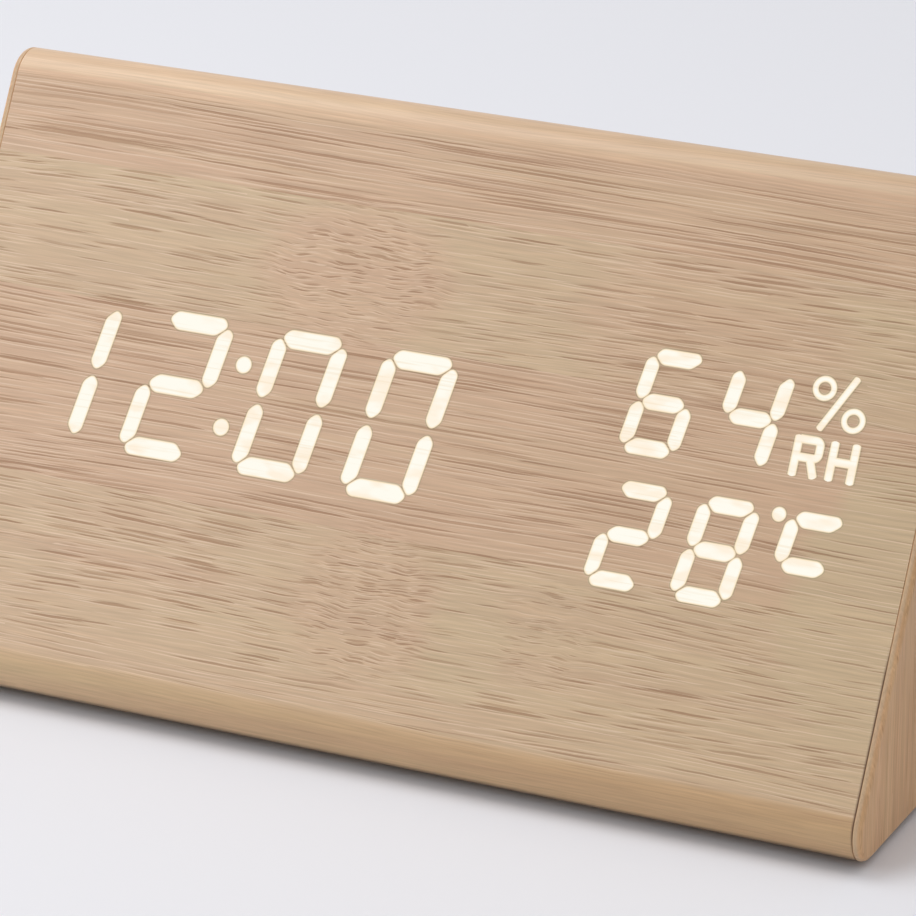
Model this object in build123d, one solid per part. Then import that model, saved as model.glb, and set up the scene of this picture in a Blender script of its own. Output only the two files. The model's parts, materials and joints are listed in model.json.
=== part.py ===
from build123d import *
import math
import os

# Digital LED desk clock: a three-sided bamboo-faced case with its display, controls and cells inside.
# Lengths are in millimetres and angles in degrees.
# X runs along the clock, the display faces -Y and leans back, Z is up and the foot pads stand on Z = 0.

# Case
width = 150.0
side_length = 99.0
face_tilt = 30.0
edge_radius = 4.8
veneer_thickness = 0.6
board_thickness = 5.0
end_board_thickness = 5.0
end_plate_thickness = 1.2
end_plate_round = 1.0
seam_chamfer = 0.15
pad_height = 0.8
pad_diameter = 9.0
pad_end_inset = 15.0
pad_edge_inset = 16.0
overrun = 1.0

# Digits, on the front face
time_digit_width = 9.3
time_digit_height = 18.6
time_upright_width = 2.45
time_level_width = 2.75
time_insets = (19.6, 37.4, 55.3, 72.4)
small_digit_width = 6.9
small_digit_height = 12.65
small_upright_width = 2.1
small_level_width = 2.35
small_pitch = 12.7
small_end_inset = 15.6
humidity_rise = 9.2
humidity_shift = 0.95
temperature_drop = 9.4
digit_lean = 8.2
segment_gap = 0.3
colon_diameter = 2.5
colon_rise = 4.6
degree_diameter = 2.1
degree_share = 0.55
percent_block = (7.6, 8.6)
letters_block = (10.4, 6.0)
percent_rise = 3.9
letters_drop = 4.0
sign_block_corner = 1.0

# Display unit, behind the front face
display_end_margin = 8.0
display_height = 38.0
display_corner = 1.5
display_fit = 0.3
film_thickness = 0.3
housing_depth = 6.0
guide_depth = 4.8
well_taper = 4.0
display_board_margin = 9.0
display_screw_inset = 4.0
circuit_thickness = 1.6
led_length = 1.0
led_width = 0.6
led_height = 0.7
spacer_diameter = 5.0
capacitor_diameter = 5.0
capacitor_height = 5.4
capacitor_base_height = 0.8
capacitor_round = 0.5

# Battery bay and its door, behind the rear face
plate_recess = 0.3
plate_thickness = 2.0
plate_rim = 5.0
plate_corner = 4.0
plate_round = 0.5
plate_fit = 0.2
opening_fit = 0.3
bay_corner = 1.5
cell_diameter = 10.5
cell_length = 44.5
cell_nub_diameter = 3.8
cell_nub_height = 0.8
cell_edge_round = 0.6
cell_count = 3
cell_gap = 0.3
cell_seat_gap = 0.15
cell_cover_gap = 0.4
leaf_space = 4.0
nub_space = 1.4
contact_gap = 0.1
contact_thickness = 0.4
contact_height = 7.0
contact_width = 7.6
leaf_width = 4.0
bump_diameter = 4.4
tab_width = 2.0
tab_length = 2.0
tab_fit = 0.1
bay_wall = 2.0
bay_floor = 1.5
door_ledge = 1.2
door_thickness = 1.6
door_corner = 1.5
door_fit = 0.15
door_seat_gap = 0.1
door_edge_round = 0.3
tongue_width = 6.0
tongue_length = 1.2
tongue_thickness = 0.6
tongue_fit = 0.3
tongue_drop = 1.05
latch_width = 13.0
latch_length = 6.0
latch_slit = 0.7
grip_rib_height = 0.3
grip_rib_width = 0.6
grip_rib_length = 9.0
grip_rib_pitch = 1.3
grip_rib_count = 4
scoop_radius = 7.0
scoop_reach = 3.2
scoop_depth = 0.9

# Controls, beside the battery bay
bay_gap = 2.6
control_board_gap = 0.5
control_board_width = 41.0
control_board_height = 34.0
post_length = 7.2
post_diameter = 4.4
post_inset = 2.2
button_pitch = 12.0
button_rise = 8.5
button_diameter = 6.6
button_fit = 0.2
button_proud = 0.9
button_round = 0.7
button_flange_width = 0.9
button_flange_thickness = 0.9
button_flange_gap = 0.05
button_travel = 0.5
button_stop_gap = 0.05
button_stem_diameter = 3.4
tact_size = 6.0
tact_height = 3.6
tact_corner = 0.6
tact_stem_diameter = 3.4
tact_stem_height = 1.4
switch_place = (-11.0, -7.5)
switch_body = (8.6, 3.8, 3.4)
switch_travel = 2.0
switch_knob_size = 1.8
switch_knob_proud = 0.5
switch_knob_depth = 0.8
switch_knob_round = 0.3
switch_fit = 0.2
switch_floor_gap = 0.1
socket_place = (12.0, -7.5)
socket_size = 9.0
socket_nose_diameter = 6.4
socket_nose_fit = 0.2
socket_bore_diameter = 3.5
socket_bore_depth = 7.5
socket_pin_diameter = 1.1
socket_pin_length = 6.5
microphone_place = (-0.5, -1.0)
microphone_diameter = 4.0
microphone_height = 1.5
microphone_hole_diameter = 1.4
sensor_place = (-0.5, -8.5)
sensor_size = (5.5, 5.0, 1.8)
sensor_port_diameter = 1.4
sensor_port_depth = 0.6
vent_length = 5.2
vent_width = 0.9
vent_pitch = 1.8
vent_count = 3
holder_inset = (28.5, 0.0)
holder_wall = 1.2
holder_floor = 0.8
backup_diameter = 20.0
backup_height = 3.2
backup_rim = 1.2
backup_step = 0.5
backup_fit = 0.2
controller_inset = (10.5, 8.0)
crystal_inset = (9.5, -0.8)
crystal_diameter = 2.1
crystal_length = 6.2
crystal_round = 0.3
crystal_gap = 0.02
buzzer_inset = (9.0, -8.5)
buzzer_diameter = 9.0
buzzer_height = 4.5
buzzer_hole_diameter = 1.6
buzzer_hole_depth = 1.0

# Chips with bent leads
chip_width = 7.5
chip_thickness = 2.3
chip_standoff = 0.15
chip_edge_chamfer = 0.3
lead_pitch = 1.27
lead_width = 0.45
lead_reach = 1.3
lead_thickness = 0.25
driver_lead_count = 14
controller_lead_count = 10
driver_insets = (29.0, 63.0)
driver_rise = 3.0
capacitor_insets = (19.0, 11.0)
capacitor_rise = 3.0

# Screws and wires
plate_screw_inset = 3.3
screw_diameter = 2.0
screw_head_diameter = 3.8
screw_head_height = 1.3
screw_length = 6.0
screw_fit = 0.05
cross_slot_width = 0.6
cross_slot_length = 2.2
cross_slot_depth = 0.7
lead_wire_diameter = 1.2
lead_wire_bend = 3.0
lead_wire_drop = 4.0
lead_wire_landing = 1.8
ribbon_width = 12.7
ribbon_thickness = 0.9
ribbon_bend = 5.0
ribbon_front_run = 10.0
ribbon_rear_run = 14.0
ribbon_shift = 6.0
ribbon_front_drop = 11.5
ribbon_rear_rise = 13.6

# Worked out from the sizes above
lean = math.radians(face_tilt)
half_base = side_length * math.sin(lean)
case_height = side_length * math.cos(lean)
inradius = half_base * case_height / (side_length + half_base)
incentre_height = pad_height + inradius
face_centre = side_length / 2
wall = veneer_thickness + board_thickness
core_length = width - 2 * end_plate_thickness
front = Plane(origin=(0, -half_base, pad_height), x_dir=(1, 0, 0), z_dir=(0, -math.cos(lean), math.sin(lean)))
rear = Plane(origin=(0, half_base, pad_height), x_dir=(-1, 0, 0), z_dir=(0, math.cos(lean), math.sin(lean)))
digit_slope = math.tan(math.radians(digit_lean))
film_depth = veneer_thickness + film_thickness
display_board_depth = film_depth + housing_depth
display_back_depth = display_board_depth + circuit_thickness
display_width = width - 2 * display_end_margin
display_board_height = display_height + 2 * display_board_margin
bay_length = cell_length + leaf_space + nub_space
bay_height = cell_count * cell_diameter + (cell_count + 1) * cell_gap
bay_outer_length = bay_length + 2 * bay_wall
bay_outer_height = bay_height + 2 * bay_wall
plate_height = bay_outer_height + 2 * plate_rim
plate_width = 2 * plate_rim + bay_outer_length + bay_gap + control_board_width + control_board_gap
bay_centre = plate_width / 2 - plate_rim - bay_outer_length / 2
control_centre = plate_rim + control_board_gap + control_board_width / 2 - plate_width / 2
ribbon_place = ribbon_shift - control_centre
plate_back = plate_recess + plate_thickness
door_seat = plate_recess + door_thickness + door_seat_gap
cell_depth = plate_recess + door_thickness + cell_cover_gap + cell_diameter / 2
bay_bottom = cell_depth + cell_diameter / 2 + cell_seat_gap + bay_floor
door_width = bay_length + 2 * door_ledge - 2 * door_fit
door_height = bay_height + 2 * door_ledge - 2 * door_fit
control_board_depth = plate_back + post_length
control_back_depth = control_board_depth + circuit_thickness
cell_pitch = cell_diameter + cell_gap

# The ends of each segment, as shares of a digit's half width and half height
segment_end_shares = {
    "a": ((-1, 1), (1, 1)),
    "b": ((1, 1), (1, 0)),
    "c": ((1, 0), (1, -1)),
    "d": ((-1, -1), (1, -1)),
    "e": ((-1, 0), (-1, -1)),
    "f": ((-1, 1), (-1, 0)),
    "g": ((-1, 0), (1, 0)),
}
segments_of = {
    "0": "abcdef",
    "1": "bc",
    "2": "abged",
    "4": "fgbc",
    "6": "afgecd",
    "8": "abcdefg",
    "C": "afg",
}
full_digit = "abcdefg"
unit_digit = "afge"
upright_segments = "bcef"


# Small helpers

def prism(outline, half_length):
    """A section drawn in Y and Z, stretched both ways along X."""
    return extrude(Plane.YZ * outline, amount=half_length, both=True)


def section_corners(inset):
    """The case's three sharp corners in Y and Z, moved in by the inset."""
    shrink = 1 - inset / inradius
    corners = ((-half_base, pad_height), (half_base, pad_height), (0, pad_height + case_height))
    return [(y * shrink, incentre_height + (z - incentre_height) * shrink) for y, z in corners]


def section(inset, radius=0):
    """The three-sided section, the inset inside the case's outer faces."""
    outline = make_face(Polyline(*section_corners(inset), close=True))
    return fillet(outline.vertices(), radius) if radius else outline


def block(length, height, top_depth, bottom_depth, corner=0):
    """A slab in a face's own frame, between two depths below the face."""
    outline = RectangleRounded(length, height, corner) if corner else Rectangle(length, height)
    return Pos(0, 0, -bottom_depth) * extrude(outline, amount=bottom_depth - top_depth)


def disc(diameter, top_depth, bottom_depth):
    """A round slab in a face's own frame, between two depths below the face."""
    return Pos(0, 0, -bottom_depth) * extrude(Circle(diameter / 2), amount=bottom_depth - top_depth)


def on_front(shape, x=0, rise=0):
    """Places a shape on the front face, from the face's centre."""
    return front.location * Pos(x, face_centre + rise, 0) * shape


def on_rear(shape, x=0, rise=0):
    """Places a shape on the rear face, from the face's centre, with x to the right seen from behind."""
    return rear.location * Pos(x, face_centre + rise, 0) * shape


def screw(head_depth, towards_front=False):
    """A countersunk screw whose head's flat lies at a depth and whose shank runs further in."""
    head_radius = screw_head_diameter / 2
    shank_radius = screw_diameter / 2
    outline = Polyline(
        (0, 0),
        (head_radius, 0),
        (shank_radius, -screw_head_height),
        (shank_radius, screw_diameter / 2 - screw_length),
        (0, -screw_length),
        close=True,
    )
    body = revolve(Plane.XZ * make_face(outline), axis=Axis.Z)
    slot = Box(cross_slot_length, cross_slot_width, 2 * cross_slot_depth)
    body = body - slot - Rot(0, 0, 90) * slot
    turned = Rot(180, 0, 0) * body if towards_front else body
    return Pos(0, 0, -head_depth) * turned


def screw_hole(head_depth, towards_front=False):
    """The countersink and hole that a screw sits in, a little larger all round."""
    head_radius = screw_head_diameter / 2 + screw_fit
    shank_radius = screw_diameter / 2 + screw_fit
    outline = Polyline(
        (0, overrun),
        (head_radius, overrun),
        (head_radius, 0),
        (shank_radius, -screw_head_height),
        (shank_radius, -screw_length - screw_fit),
        (0, -screw_length - screw_fit),
        close=True,
    )
    body = revolve(Plane.XZ * make_face(outline), axis=Axis.Z)
    turned = Rot(180, 0, 0) * body if towards_front else body
    return Pos(0, 0, -head_depth) * turned


def corner_places(length, height):
    """The four corners of a rectangle about the origin."""
    return [(x, y) for x in (-length / 2, length / 2) for y in (-height / 2, height / 2)]


# Places that pieces share

display_screw_reach = display_width / 2 - display_screw_inset
display_screw_lift = display_board_height / 2 - display_screw_inset
display_screw_places = [
    (x, rise)
    for x in (-display_screw_reach, 0, display_screw_reach)
    for rise in (-display_screw_lift, display_screw_lift)
]
driver_places = [(inset - display_width / 2, driver_rise) for inset in driver_insets]
capacitor_places = [(display_width / 2 - inset, capacitor_rise) for inset in capacitor_insets]
plate_screw_places = corner_places(plate_width - 2 * plate_screw_inset, plate_height - 2 * plate_screw_inset)
post_places = [
    (control_centre + x, y)
    for x, y in corner_places(control_board_width - 2 * post_inset, control_board_height - 2 * post_inset)
]
button_places = [(control_centre + step * button_pitch, button_rise) for step in (-1, 0, 1)]
cell_rises = [(row - (cell_count - 1) / 2) * cell_pitch for row in range(cell_count)]
cell_directions = [-1 if row % 2 == 0 else 1 for row in range(cell_count)]


def control_place(place):
    """A place measured from the control board's centre."""
    return control_centre + place[0], place[1]


def inner_place(inset):
    """A place on the control board's inner face, measured from its edge beside the battery bay."""
    return control_centre + control_board_width / 2 - inset[0], inset[1]


# Case

def bamboo_wrap():
    """One veneer sheet round all three sides, with the opening for the rear housing."""
    sheet = section(0, edge_radius) - section(veneer_thickness, edge_radius - veneer_thickness)
    opening = block(
        plate_width + 2 * plate_fit,
        plate_height + 2 * plate_fit,
        -overrun,
        veneer_thickness + overrun,
        plate_corner + plate_fit,
    )
    return prism(sheet, core_length / 2) - on_rear(opening)


def mitred_board(first, second):
    """One board of the core, mitred where it meets its neighbours."""
    ring = section(veneer_thickness, edge_radius - veneer_thickness) - section(wall)
    corners = section_corners(0)
    wedge = make_face(Polyline(corners[first], corners[second], (0, incentre_height), close=True))
    return prism(ring & wedge, core_length / 2)


def front_board():
    """The sloping front, with the window that the display fills."""
    window = block(
        display_width + 2 * display_fit,
        display_height + 2 * display_fit,
        0,
        wall + overrun,
        display_corner + display_fit,
    )
    board = mitred_board(0, 2) - on_front(window)
    for x, rise in display_screw_places:
        board -= on_front(screw_hole(display_back_depth + screw_head_height, True), x, rise)
    return board


def rear_board():
    """The sloping back, rebated for the rear housing's flange and open behind it."""
    rebate = block(
        plate_width + 2 * plate_fit,
        plate_height + 2 * plate_fit,
        0,
        plate_back,
        plate_corner + plate_fit,
    )
    opening = block(
        plate_width - 2 * plate_rim + 2 * opening_fit,
        bay_outer_height + 2 * opening_fit,
        0,
        wall + overrun,
        bay_corner + opening_fit,
    )
    board = mitred_board(1, 2) - on_rear(rebate) - on_rear(opening)
    for x, rise in plate_screw_places:
        board -= on_rear(screw_hole(plate_recess), x, rise)
    return board


def base_board():
    """The level board that the clock stands on."""
    return mitred_board(0, 1)


def end_board(side):
    """A board that closes the core's hollow at one end."""
    plug = prism(section(wall), end_board_thickness / 2)
    return Pos(side * (core_length - end_board_thickness) / 2, 0, 0) * plug


def end_plate(side):
    """The bamboo plate on one end, rounded outside and eased at the seam."""
    plate = prism(section(0, edge_radius), end_plate_thickness / 2)
    plate = fillet(plate.faces().sort_by(Axis.X)[-1].edges(), end_plate_round)
    plate = chamfer(plate.faces().sort_by(Axis.X)[0].edges(), seam_chamfer)
    turned = plate if side > 0 else Rot(0, 0, 180) * plate
    return Pos(side * (width - end_plate_thickness) / 2, 0, 0) * turned


def foot_pads():
    """Four thin anti-slip pads under the base."""
    pad = Cylinder(pad_diameter / 2, pad_height)
    return [
        Pos(x, y, pad_height / 2) * pad
        for x, y in corner_places(width - 2 * pad_end_inset, 2 * (half_base - pad_edge_inset))
    ]


# Digits

def segment_outline(letter, digit_width, digit_height, upright_width, level_width):
    """A six-sided segment, pointed at both ends, that leans with its digit."""
    ends = [(x * digit_width / 2, y * digit_height / 2) for x, y in segment_end_shares[letter]]
    length = math.dist(*ends)
    along = [(ends[1][axis] - ends[0][axis]) / length for axis in (0, 1)]
    half = (upright_width if letter in upright_segments else level_width) / 2
    stations = (
        (segment_gap, 0),
        (segment_gap + half, half),
        (length - segment_gap - half, half),
        (length - segment_gap, 0),
        (length - segment_gap - half, -half),
        (segment_gap + half, -half),
    )
    points = []
    for run, side in stations:
        x = ends[0][0] + run * along[0] - side * along[1]
        y = ends[0][1] + run * along[1] + side * along[0]
        points.append((x + digit_slope * y, y))
    return make_face(Polyline(*points, close=True))


def digit_places():
    """Every digit: its row, its sign, its centre, the segments that it has, and its size."""
    time_size = (time_digit_width, time_digit_height, time_upright_width, time_level_width)
    small_size = (small_digit_width, small_digit_height, small_upright_width, small_level_width)
    places = []
    for inset, sign in zip(time_insets, "1200"):
        places.append(("time", sign, inset - width / 2, 0, full_digit, time_size))
    for index, sign in enumerate("28C"):
        x = width / 2 - small_end_inset + (index - 2) * small_pitch
        has = unit_digit if sign == "C" else full_digit
        places.append(("temperature", sign, x, -temperature_drop, has, small_size))
    for index, sign in enumerate("64"):
        x = width / 2 - small_end_inset + humidity_shift + (index - 2) * small_pitch
        places.append(("humidity", sign, x, humidity_rise, full_digit, small_size))
    return places


def light_shape(outline, depth):
    """A well or its clear filling, from the film down, narrower towards the circuit board."""
    return Pos(0, 0, -film_depth) * extrude(outline, amount=-depth, taper=well_taper)


def segment_guides(row, lit, depth=guide_depth):
    """The light shapes of one row's lit or unlit segments."""
    shapes = []
    for place_row, sign, x, rise, has, size in digit_places():
        if place_row != row:
            continue
        for letter in has:
            if (letter in segments_of[sign]) == lit:
                shapes.append(on_front(light_shape(segment_outline(letter, *size), depth), x, rise))
    return shapes


def colon_places():
    """The colon's two dots, between the hours and the minutes."""
    x = (time_insets[1] + time_insets[2] - width) / 2
    return [(x + digit_slope * rise, rise) for rise in (-colon_rise, colon_rise)]


def colon_guides(depth=guide_depth):
    """The light shapes of the colon."""
    shape = light_shape(Circle(colon_diameter / 2), depth)
    return [on_front(shape, x, rise) for x, rise in colon_places()]


def degree_place():
    """The degree dot, level with the top of the temperature digits."""
    rise = small_digit_height / 2
    x = width / 2 - small_end_inset - (1 - degree_share) * small_pitch + digit_slope * rise
    return x, rise - temperature_drop


def degree_guide(depth=guide_depth):
    """The light shape of the degree dot."""
    return on_front(light_shape(Circle(degree_diameter / 2), depth), *degree_place())


def sign_places():
    """The light blocks behind the humidity row's signs: each centre and size."""
    x = width / 2 - small_end_inset
    return (
        (x, humidity_rise + percent_rise, percent_block),
        (x, humidity_rise - letters_drop, letters_block),
    )


def sign_guides(depth=guide_depth):
    """The light blocks behind the humidity row's signs, which the printed film masks."""
    return [
        on_front(light_shape(RectangleRounded(*size, sign_block_corner), depth), x, rise)
        for x, rise, size in sign_places()
    ]


def led_places():
    """The middle of every well, and whether the well stands upright."""
    places = [(x, rise, False) for x, rise in colon_places()]
    places += [(*degree_place(), False)] + [(x, rise, False) for x, rise, size in sign_places()]
    for row, sign, x, rise, has, (digit_width, digit_height, *widths) in digit_places():
        for letter in has:
            (x0, y0), (x1, y1) = segment_end_shares[letter]
            across = (x0 + x1) / 2 * digit_width / 2
            up = (y0 + y1) / 2 * digit_height / 2
            places.append((x + across + digit_slope * up, rise + up, letter in upright_segments))
    return places


# Display unit

def diffuser_film():
    """The thin film between the veneer and the wells."""
    return on_front(block(display_width, display_height, veneer_thickness, film_depth, display_corner))


def display_housing():
    """The white housing, with a tapered light well for each segment, dot and sign."""
    housing = on_front(block(display_width, display_height, film_depth, display_board_depth, display_corner))
    wells = colon_guides(housing_depth) + [degree_guide(housing_depth)] + sign_guides(housing_depth)
    for row in ("time", "humidity", "temperature"):
        wells += segment_guides(row, True, housing_depth) + segment_guides(row, False, housing_depth)
    return housing - wells


def display_leds():
    """One small LED at the bottom of each well."""
    led = block(led_length, led_width, display_board_depth - led_height, display_board_depth)
    return [on_front(Rot(0, 0, 90) * led if upright else led, x, rise) for x, rise, upright in led_places()]


def display_circuit_board():
    """The board that carries the housing, the LEDs and the driver chips."""
    size = (display_width, display_board_height)
    board = on_front(block(*size, display_board_depth, display_back_depth, display_corner))
    for x, rise in display_screw_places:
        board -= on_front(screw_hole(display_back_depth + screw_head_height, True), x, rise)
    return board


def display_screws():
    """The screws that hold the display's board to the front board."""
    return [
        on_front(screw(display_back_depth + screw_head_height, True), x, rise)
        for x, rise in display_screw_places
    ]


def display_spacers():
    """The washers between the display's board and the front board."""
    ring = disc(spacer_diameter, wall, display_board_depth) - disc(
        screw_diameter + 2 * screw_fit, wall - overrun, display_board_depth + overrun
    )
    return [on_front(ring, x, rise) for x, rise in display_screw_places]


def chip(lead_count, board_depth):
    """A chip on a board that faces inwards, with a row of bent leads along each side."""
    top = board_depth + chip_standoff
    body = block(lead_count * lead_pitch, chip_width, top, top + chip_thickness)
    body = chamfer(body.faces().sort_by(Axis.Z)[0].edges(), chip_edge_chamfer)
    middle = chip_standoff + chip_thickness / 2
    foot = chip_width / 2 + lead_reach
    knee = chip_width / 2 + lead_reach / 2
    side = chip_width / 2
    lead_line = Polyline(
        (side, -middle),
        (knee, -middle),
        (knee, -lead_thickness),
        (foot, -lead_thickness),
        (foot, 0),
        (knee - lead_thickness, 0),
        (knee - lead_thickness, lead_thickness - middle),
        (side, lead_thickness - middle),
        close=True,
    )
    lead = extrude(Plane.YZ * make_face(lead_line), amount=lead_width / 2, both=True)
    leads = []
    for index in range(lead_count):
        place = Pos((index - (lead_count - 1) / 2) * lead_pitch, 0, -board_depth)
        leads += [place * lead, place * Rot(0, 0, 180) * lead]
    return body + leads


def driver_chips():
    """The two chips that light the segments."""
    return [on_front(chip(driver_lead_count, display_back_depth), x, rise) for x, rise in driver_places]


def smoothing_capacitors():
    """Two small metal cans on the back of the display's board."""
    can = disc(capacitor_diameter, display_back_depth, display_back_depth + capacitor_height)
    can = fillet(can.faces().sort_by(Axis.Z)[0].edges(), capacitor_round)
    foot = block(
        capacitor_diameter,
        capacitor_diameter,
        display_back_depth,
        display_back_depth + capacitor_base_height,
    )
    return [on_front(can + foot, x, rise) for x, rise in capacitor_places]


def ribbon_cable():
    """The flat cable from the display's board to the control board."""
    front_bend = -display_back_depth - ribbon_front_run
    rear_bend = -control_back_depth - ribbon_rear_run
    start = on_front(Location((ribbon_place, -ribbon_front_drop, -display_back_depth))).position
    leave = on_front(Location((ribbon_place, -ribbon_front_drop, front_bend))).position
    arrive = on_rear(Location((-ribbon_place, ribbon_rear_rise, rear_bend))).position
    end = on_rear(Location((-ribbon_place, ribbon_rear_rise, -control_back_depth))).position
    path = FilletPolyline(start, leave, arrive, end, radius=ribbon_bend)
    across = Plane(origin=start, x_dir=(1, 0, 0), z_dir=leave - start)
    return sweep(across * Rectangle(ribbon_width, ribbon_thickness), path=path)


# Rear housing, battery bay and door

def bay_hollow():
    """The room for the cells: straight sides above, a round cradle under each and room for the contacts."""
    room = block(bay_length, bay_height, plate_recess - overrun, cell_depth)
    pocket_bottom = cell_depth + contact_height / 2 + tab_fit
    pocket = block(contact_thickness + contact_gap, bay_height, cell_depth, pocket_bottom)
    for side in (-1, 1):
        room += Pos(side * (bay_length - contact_thickness - contact_gap) / 2, 0, 0) * pocket
    for rise in cell_rises:
        cradle = Cylinder(cell_diameter / 2 + cell_seat_gap, bay_length, rotation=(0, 90, 0))
        room += Pos(0, rise, -cell_depth) * cradle
    return Pos(bay_centre, 0, 0) * room


def door_rebate():
    """The shallow step that the door lies in, and the slots for its two tongues."""
    step = block(
        bay_length + 2 * door_ledge,
        bay_height + 2 * door_ledge,
        plate_recess - overrun,
        door_seat,
        door_corner + door_fit,
    )
    low_edge = -bay_height / 2 - door_ledge
    slot_bottom = plate_recess + math.hypot(tongue_length, tongue_drop + tongue_thickness) + tongue_fit
    slot_reach = tongue_length + tongue_fit
    slot = block(
        tongue_width + 2 * tongue_fit,
        slot_reach + door_ledge,
        plate_recess + tongue_drop - door_seat_gap,
        slot_bottom,
    )
    for x in tongue_places():
        step += Pos(x, low_edge + (door_ledge - slot_reach) / 2, 0) * slot
    return Pos(bay_centre, 0, 0) * step


def tongue_places():
    """The door's two tongues, a quarter of its width in from each side."""
    return (-door_width / 4, door_width / 4)


def finger_scoop():
    """The hollow in the flange where a fingertip reaches the door's latch."""
    edge = bay_height / 2 + door_ledge
    bowl = Pos(0, edge, -plate_recess) * Cylinder(scoop_radius, 2 * scoop_depth)
    limit = Pos(0, edge, -plate_recess) * Box(2 * scoop_radius, 2 * scoop_reach, 4 * scoop_depth)
    return Pos(bay_centre, 0, 0) * (bowl & limit)


def tab_slit(x, rise):
    """The slit in the bay's floor that a contact's tab passes through."""
    slit = block(contact_thickness + 2 * tab_fit, tab_width + 2 * tab_fit, cell_depth, bay_bottom + overrun)
    return Pos(x, rise, 0) * slit


def rear_housing():
    """One moulding: the flange, the battery bay with its cradles, and the control board's posts."""
    flange = block(plate_width, plate_height, plate_recess, plate_back, plate_corner)
    flange = fillet(flange.faces().sort_by(Axis.Z)[-1].edges(), plate_round)
    bay = block(bay_outer_length, bay_outer_height, plate_recess + plate_round, bay_bottom, bay_corner)
    moulding = flange + Pos(bay_centre, 0, 0) * bay - bay_hollow() - door_rebate() - finger_scoop()
    for x, rise, side in free_contacts():
        moulding -= tab_slit(contact_plate_x(side), rise)
    for x, rise in post_places:
        moulding += Pos(x, rise, 0) * disc(post_diameter, plate_back, control_board_depth)
        moulding -= Pos(x, rise, 0) * screw_hole(control_back_depth + screw_head_height, True)
    for x, rise in plate_screw_places:
        moulding -= Pos(x, rise, 0) * screw_hole(plate_recess)
    for hole in control_openings():
        moulding -= hole
    return on_rear(moulding)


def control_openings():
    """The holes in the flange for the buttons, switch, socket, microphone and climate sensor."""
    top = plate_recess - overrun
    bottom = plate_back + overrun
    button_hole = disc(button_diameter + 2 * button_fit, top, bottom)
    holes = [Pos(x, rise, 0) * button_hole for x, rise in button_places]
    x, rise = control_place(switch_place)
    slot_length = switch_knob_size + switch_travel + 2 * switch_fit
    holes.append(Pos(x, rise, 0) * block(slot_length, switch_knob_size + 2 * switch_fit, top, bottom))
    x, rise = control_place(socket_place)
    holes.append(Pos(x, rise, 0) * disc(socket_nose_diameter + 2 * socket_nose_fit, top, bottom))
    x, rise = control_place(microphone_place)
    holes.append(Pos(x, rise, 0) * disc(microphone_hole_diameter, top, bottom))
    x, rise = control_place(sensor_place)
    for index in range(vent_count):
        step = (index - (vent_count - 1) / 2) * vent_pitch
        vent = SlotOverall(vent_length, vent_width)
        holes.append(Pos(x, rise + step, -bottom) * extrude(vent, amount=bottom - top))
    return holes


def rear_housing_screws():
    """The four screws at the flange's corners."""
    return [on_rear(screw(plate_recess), x, rise) for x, rise in plate_screw_places]


def battery_door():
    """The lid of the bay, with two tongues below, a slit latch above and grip ribs."""
    lid = block(door_width, door_height, plate_recess, plate_recess + door_thickness, door_corner)
    lid = fillet(lid.faces().sort_by(Axis.Z)[-1].edges(), door_edge_round)
    tongue_top = plate_recess + tongue_drop
    tongue = block(tongue_width, tongue_length + door_ledge, tongue_top, tongue_top + tongue_thickness)
    for x in tongue_places():
        lid += Pos(x, -door_height / 2 + (door_ledge - tongue_length) / 2, 0) * tongue
    for side in (-1, 1):
        slit = Box(latch_slit, 2 * latch_length, 2 * door_thickness + overrun)
        lid -= Pos(side * latch_width / 2, door_height / 2, -plate_recess) * slit
    rib = Box(grip_rib_length, grip_rib_width, 2 * grip_rib_height)
    for index in range(grip_rib_count):
        rise = door_height / 2 - latch_length + index * grip_rib_pitch + grip_rib_width
        lid += Pos(0, rise, -plate_recess) * rib
    return on_rear(Pos(bay_centre, 0, 0) * lid)


def battery_cell(row):
    """One AAA cell, with its raised end towards the side that its row gives."""
    radius = cell_diameter / 2
    can_length = cell_length - cell_nub_height
    can = fillet(Cylinder(radius, can_length).edges().filter_by(GeomType.CIRCLE), cell_edge_round)
    nub = Pos(0, 0, (can_length + cell_nub_height) / 2) * Cylinder(cell_nub_diameter / 2, cell_nub_height)
    direction = cell_directions[row]
    turned = Rot(0, 90 * direction, 0) * (can + nub)
    can_end = bay_length / 2 - nub_space - cell_nub_height - can_length / 2
    return on_rear(Pos(0, 0, -cell_depth) * turned, bay_centre + direction * can_end, cell_rises[row])


def contact_plate_x(side):
    """The middle of a contact's plate, against the bay's end wall."""
    return bay_centre + side * (bay_length - contact_thickness) / 2


def free_contacts():
    """The two ends of the row of cells, where the leads start: place, rise and side."""
    first, last = 0, cell_count - 1
    first_side = cell_directions[first]
    last_side = -cell_directions[last]
    return (
        (contact_plate_x(first_side), cell_rises[first], first_side),
        (contact_plate_x(last_side), cell_rises[last], last_side),
    )


def contact_bump():
    """The pressed bump that meets a cell's raised end, drawn from the wall towards +X."""
    reach = nub_space - contact_gap
    return Pos(reach / 2, 0, 0) * Cylinder(bump_diameter / 2, reach, rotation=(0, 90, 0))


def contact_leaf():
    """The bent leaf that presses on a cell's flat end, drawn from the wall towards +X."""
    half = contact_thickness / 2
    reach = leaf_space - contact_gap - half
    tall = contact_height / 2 - half
    line = FilletPolyline((half, tall), (reach, 0), (2 * half, -tall / 2), radius=contact_thickness)
    return extrude(Plane.XZ * trace(line, contact_thickness), amount=leaf_width / 2, both=True)


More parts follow.
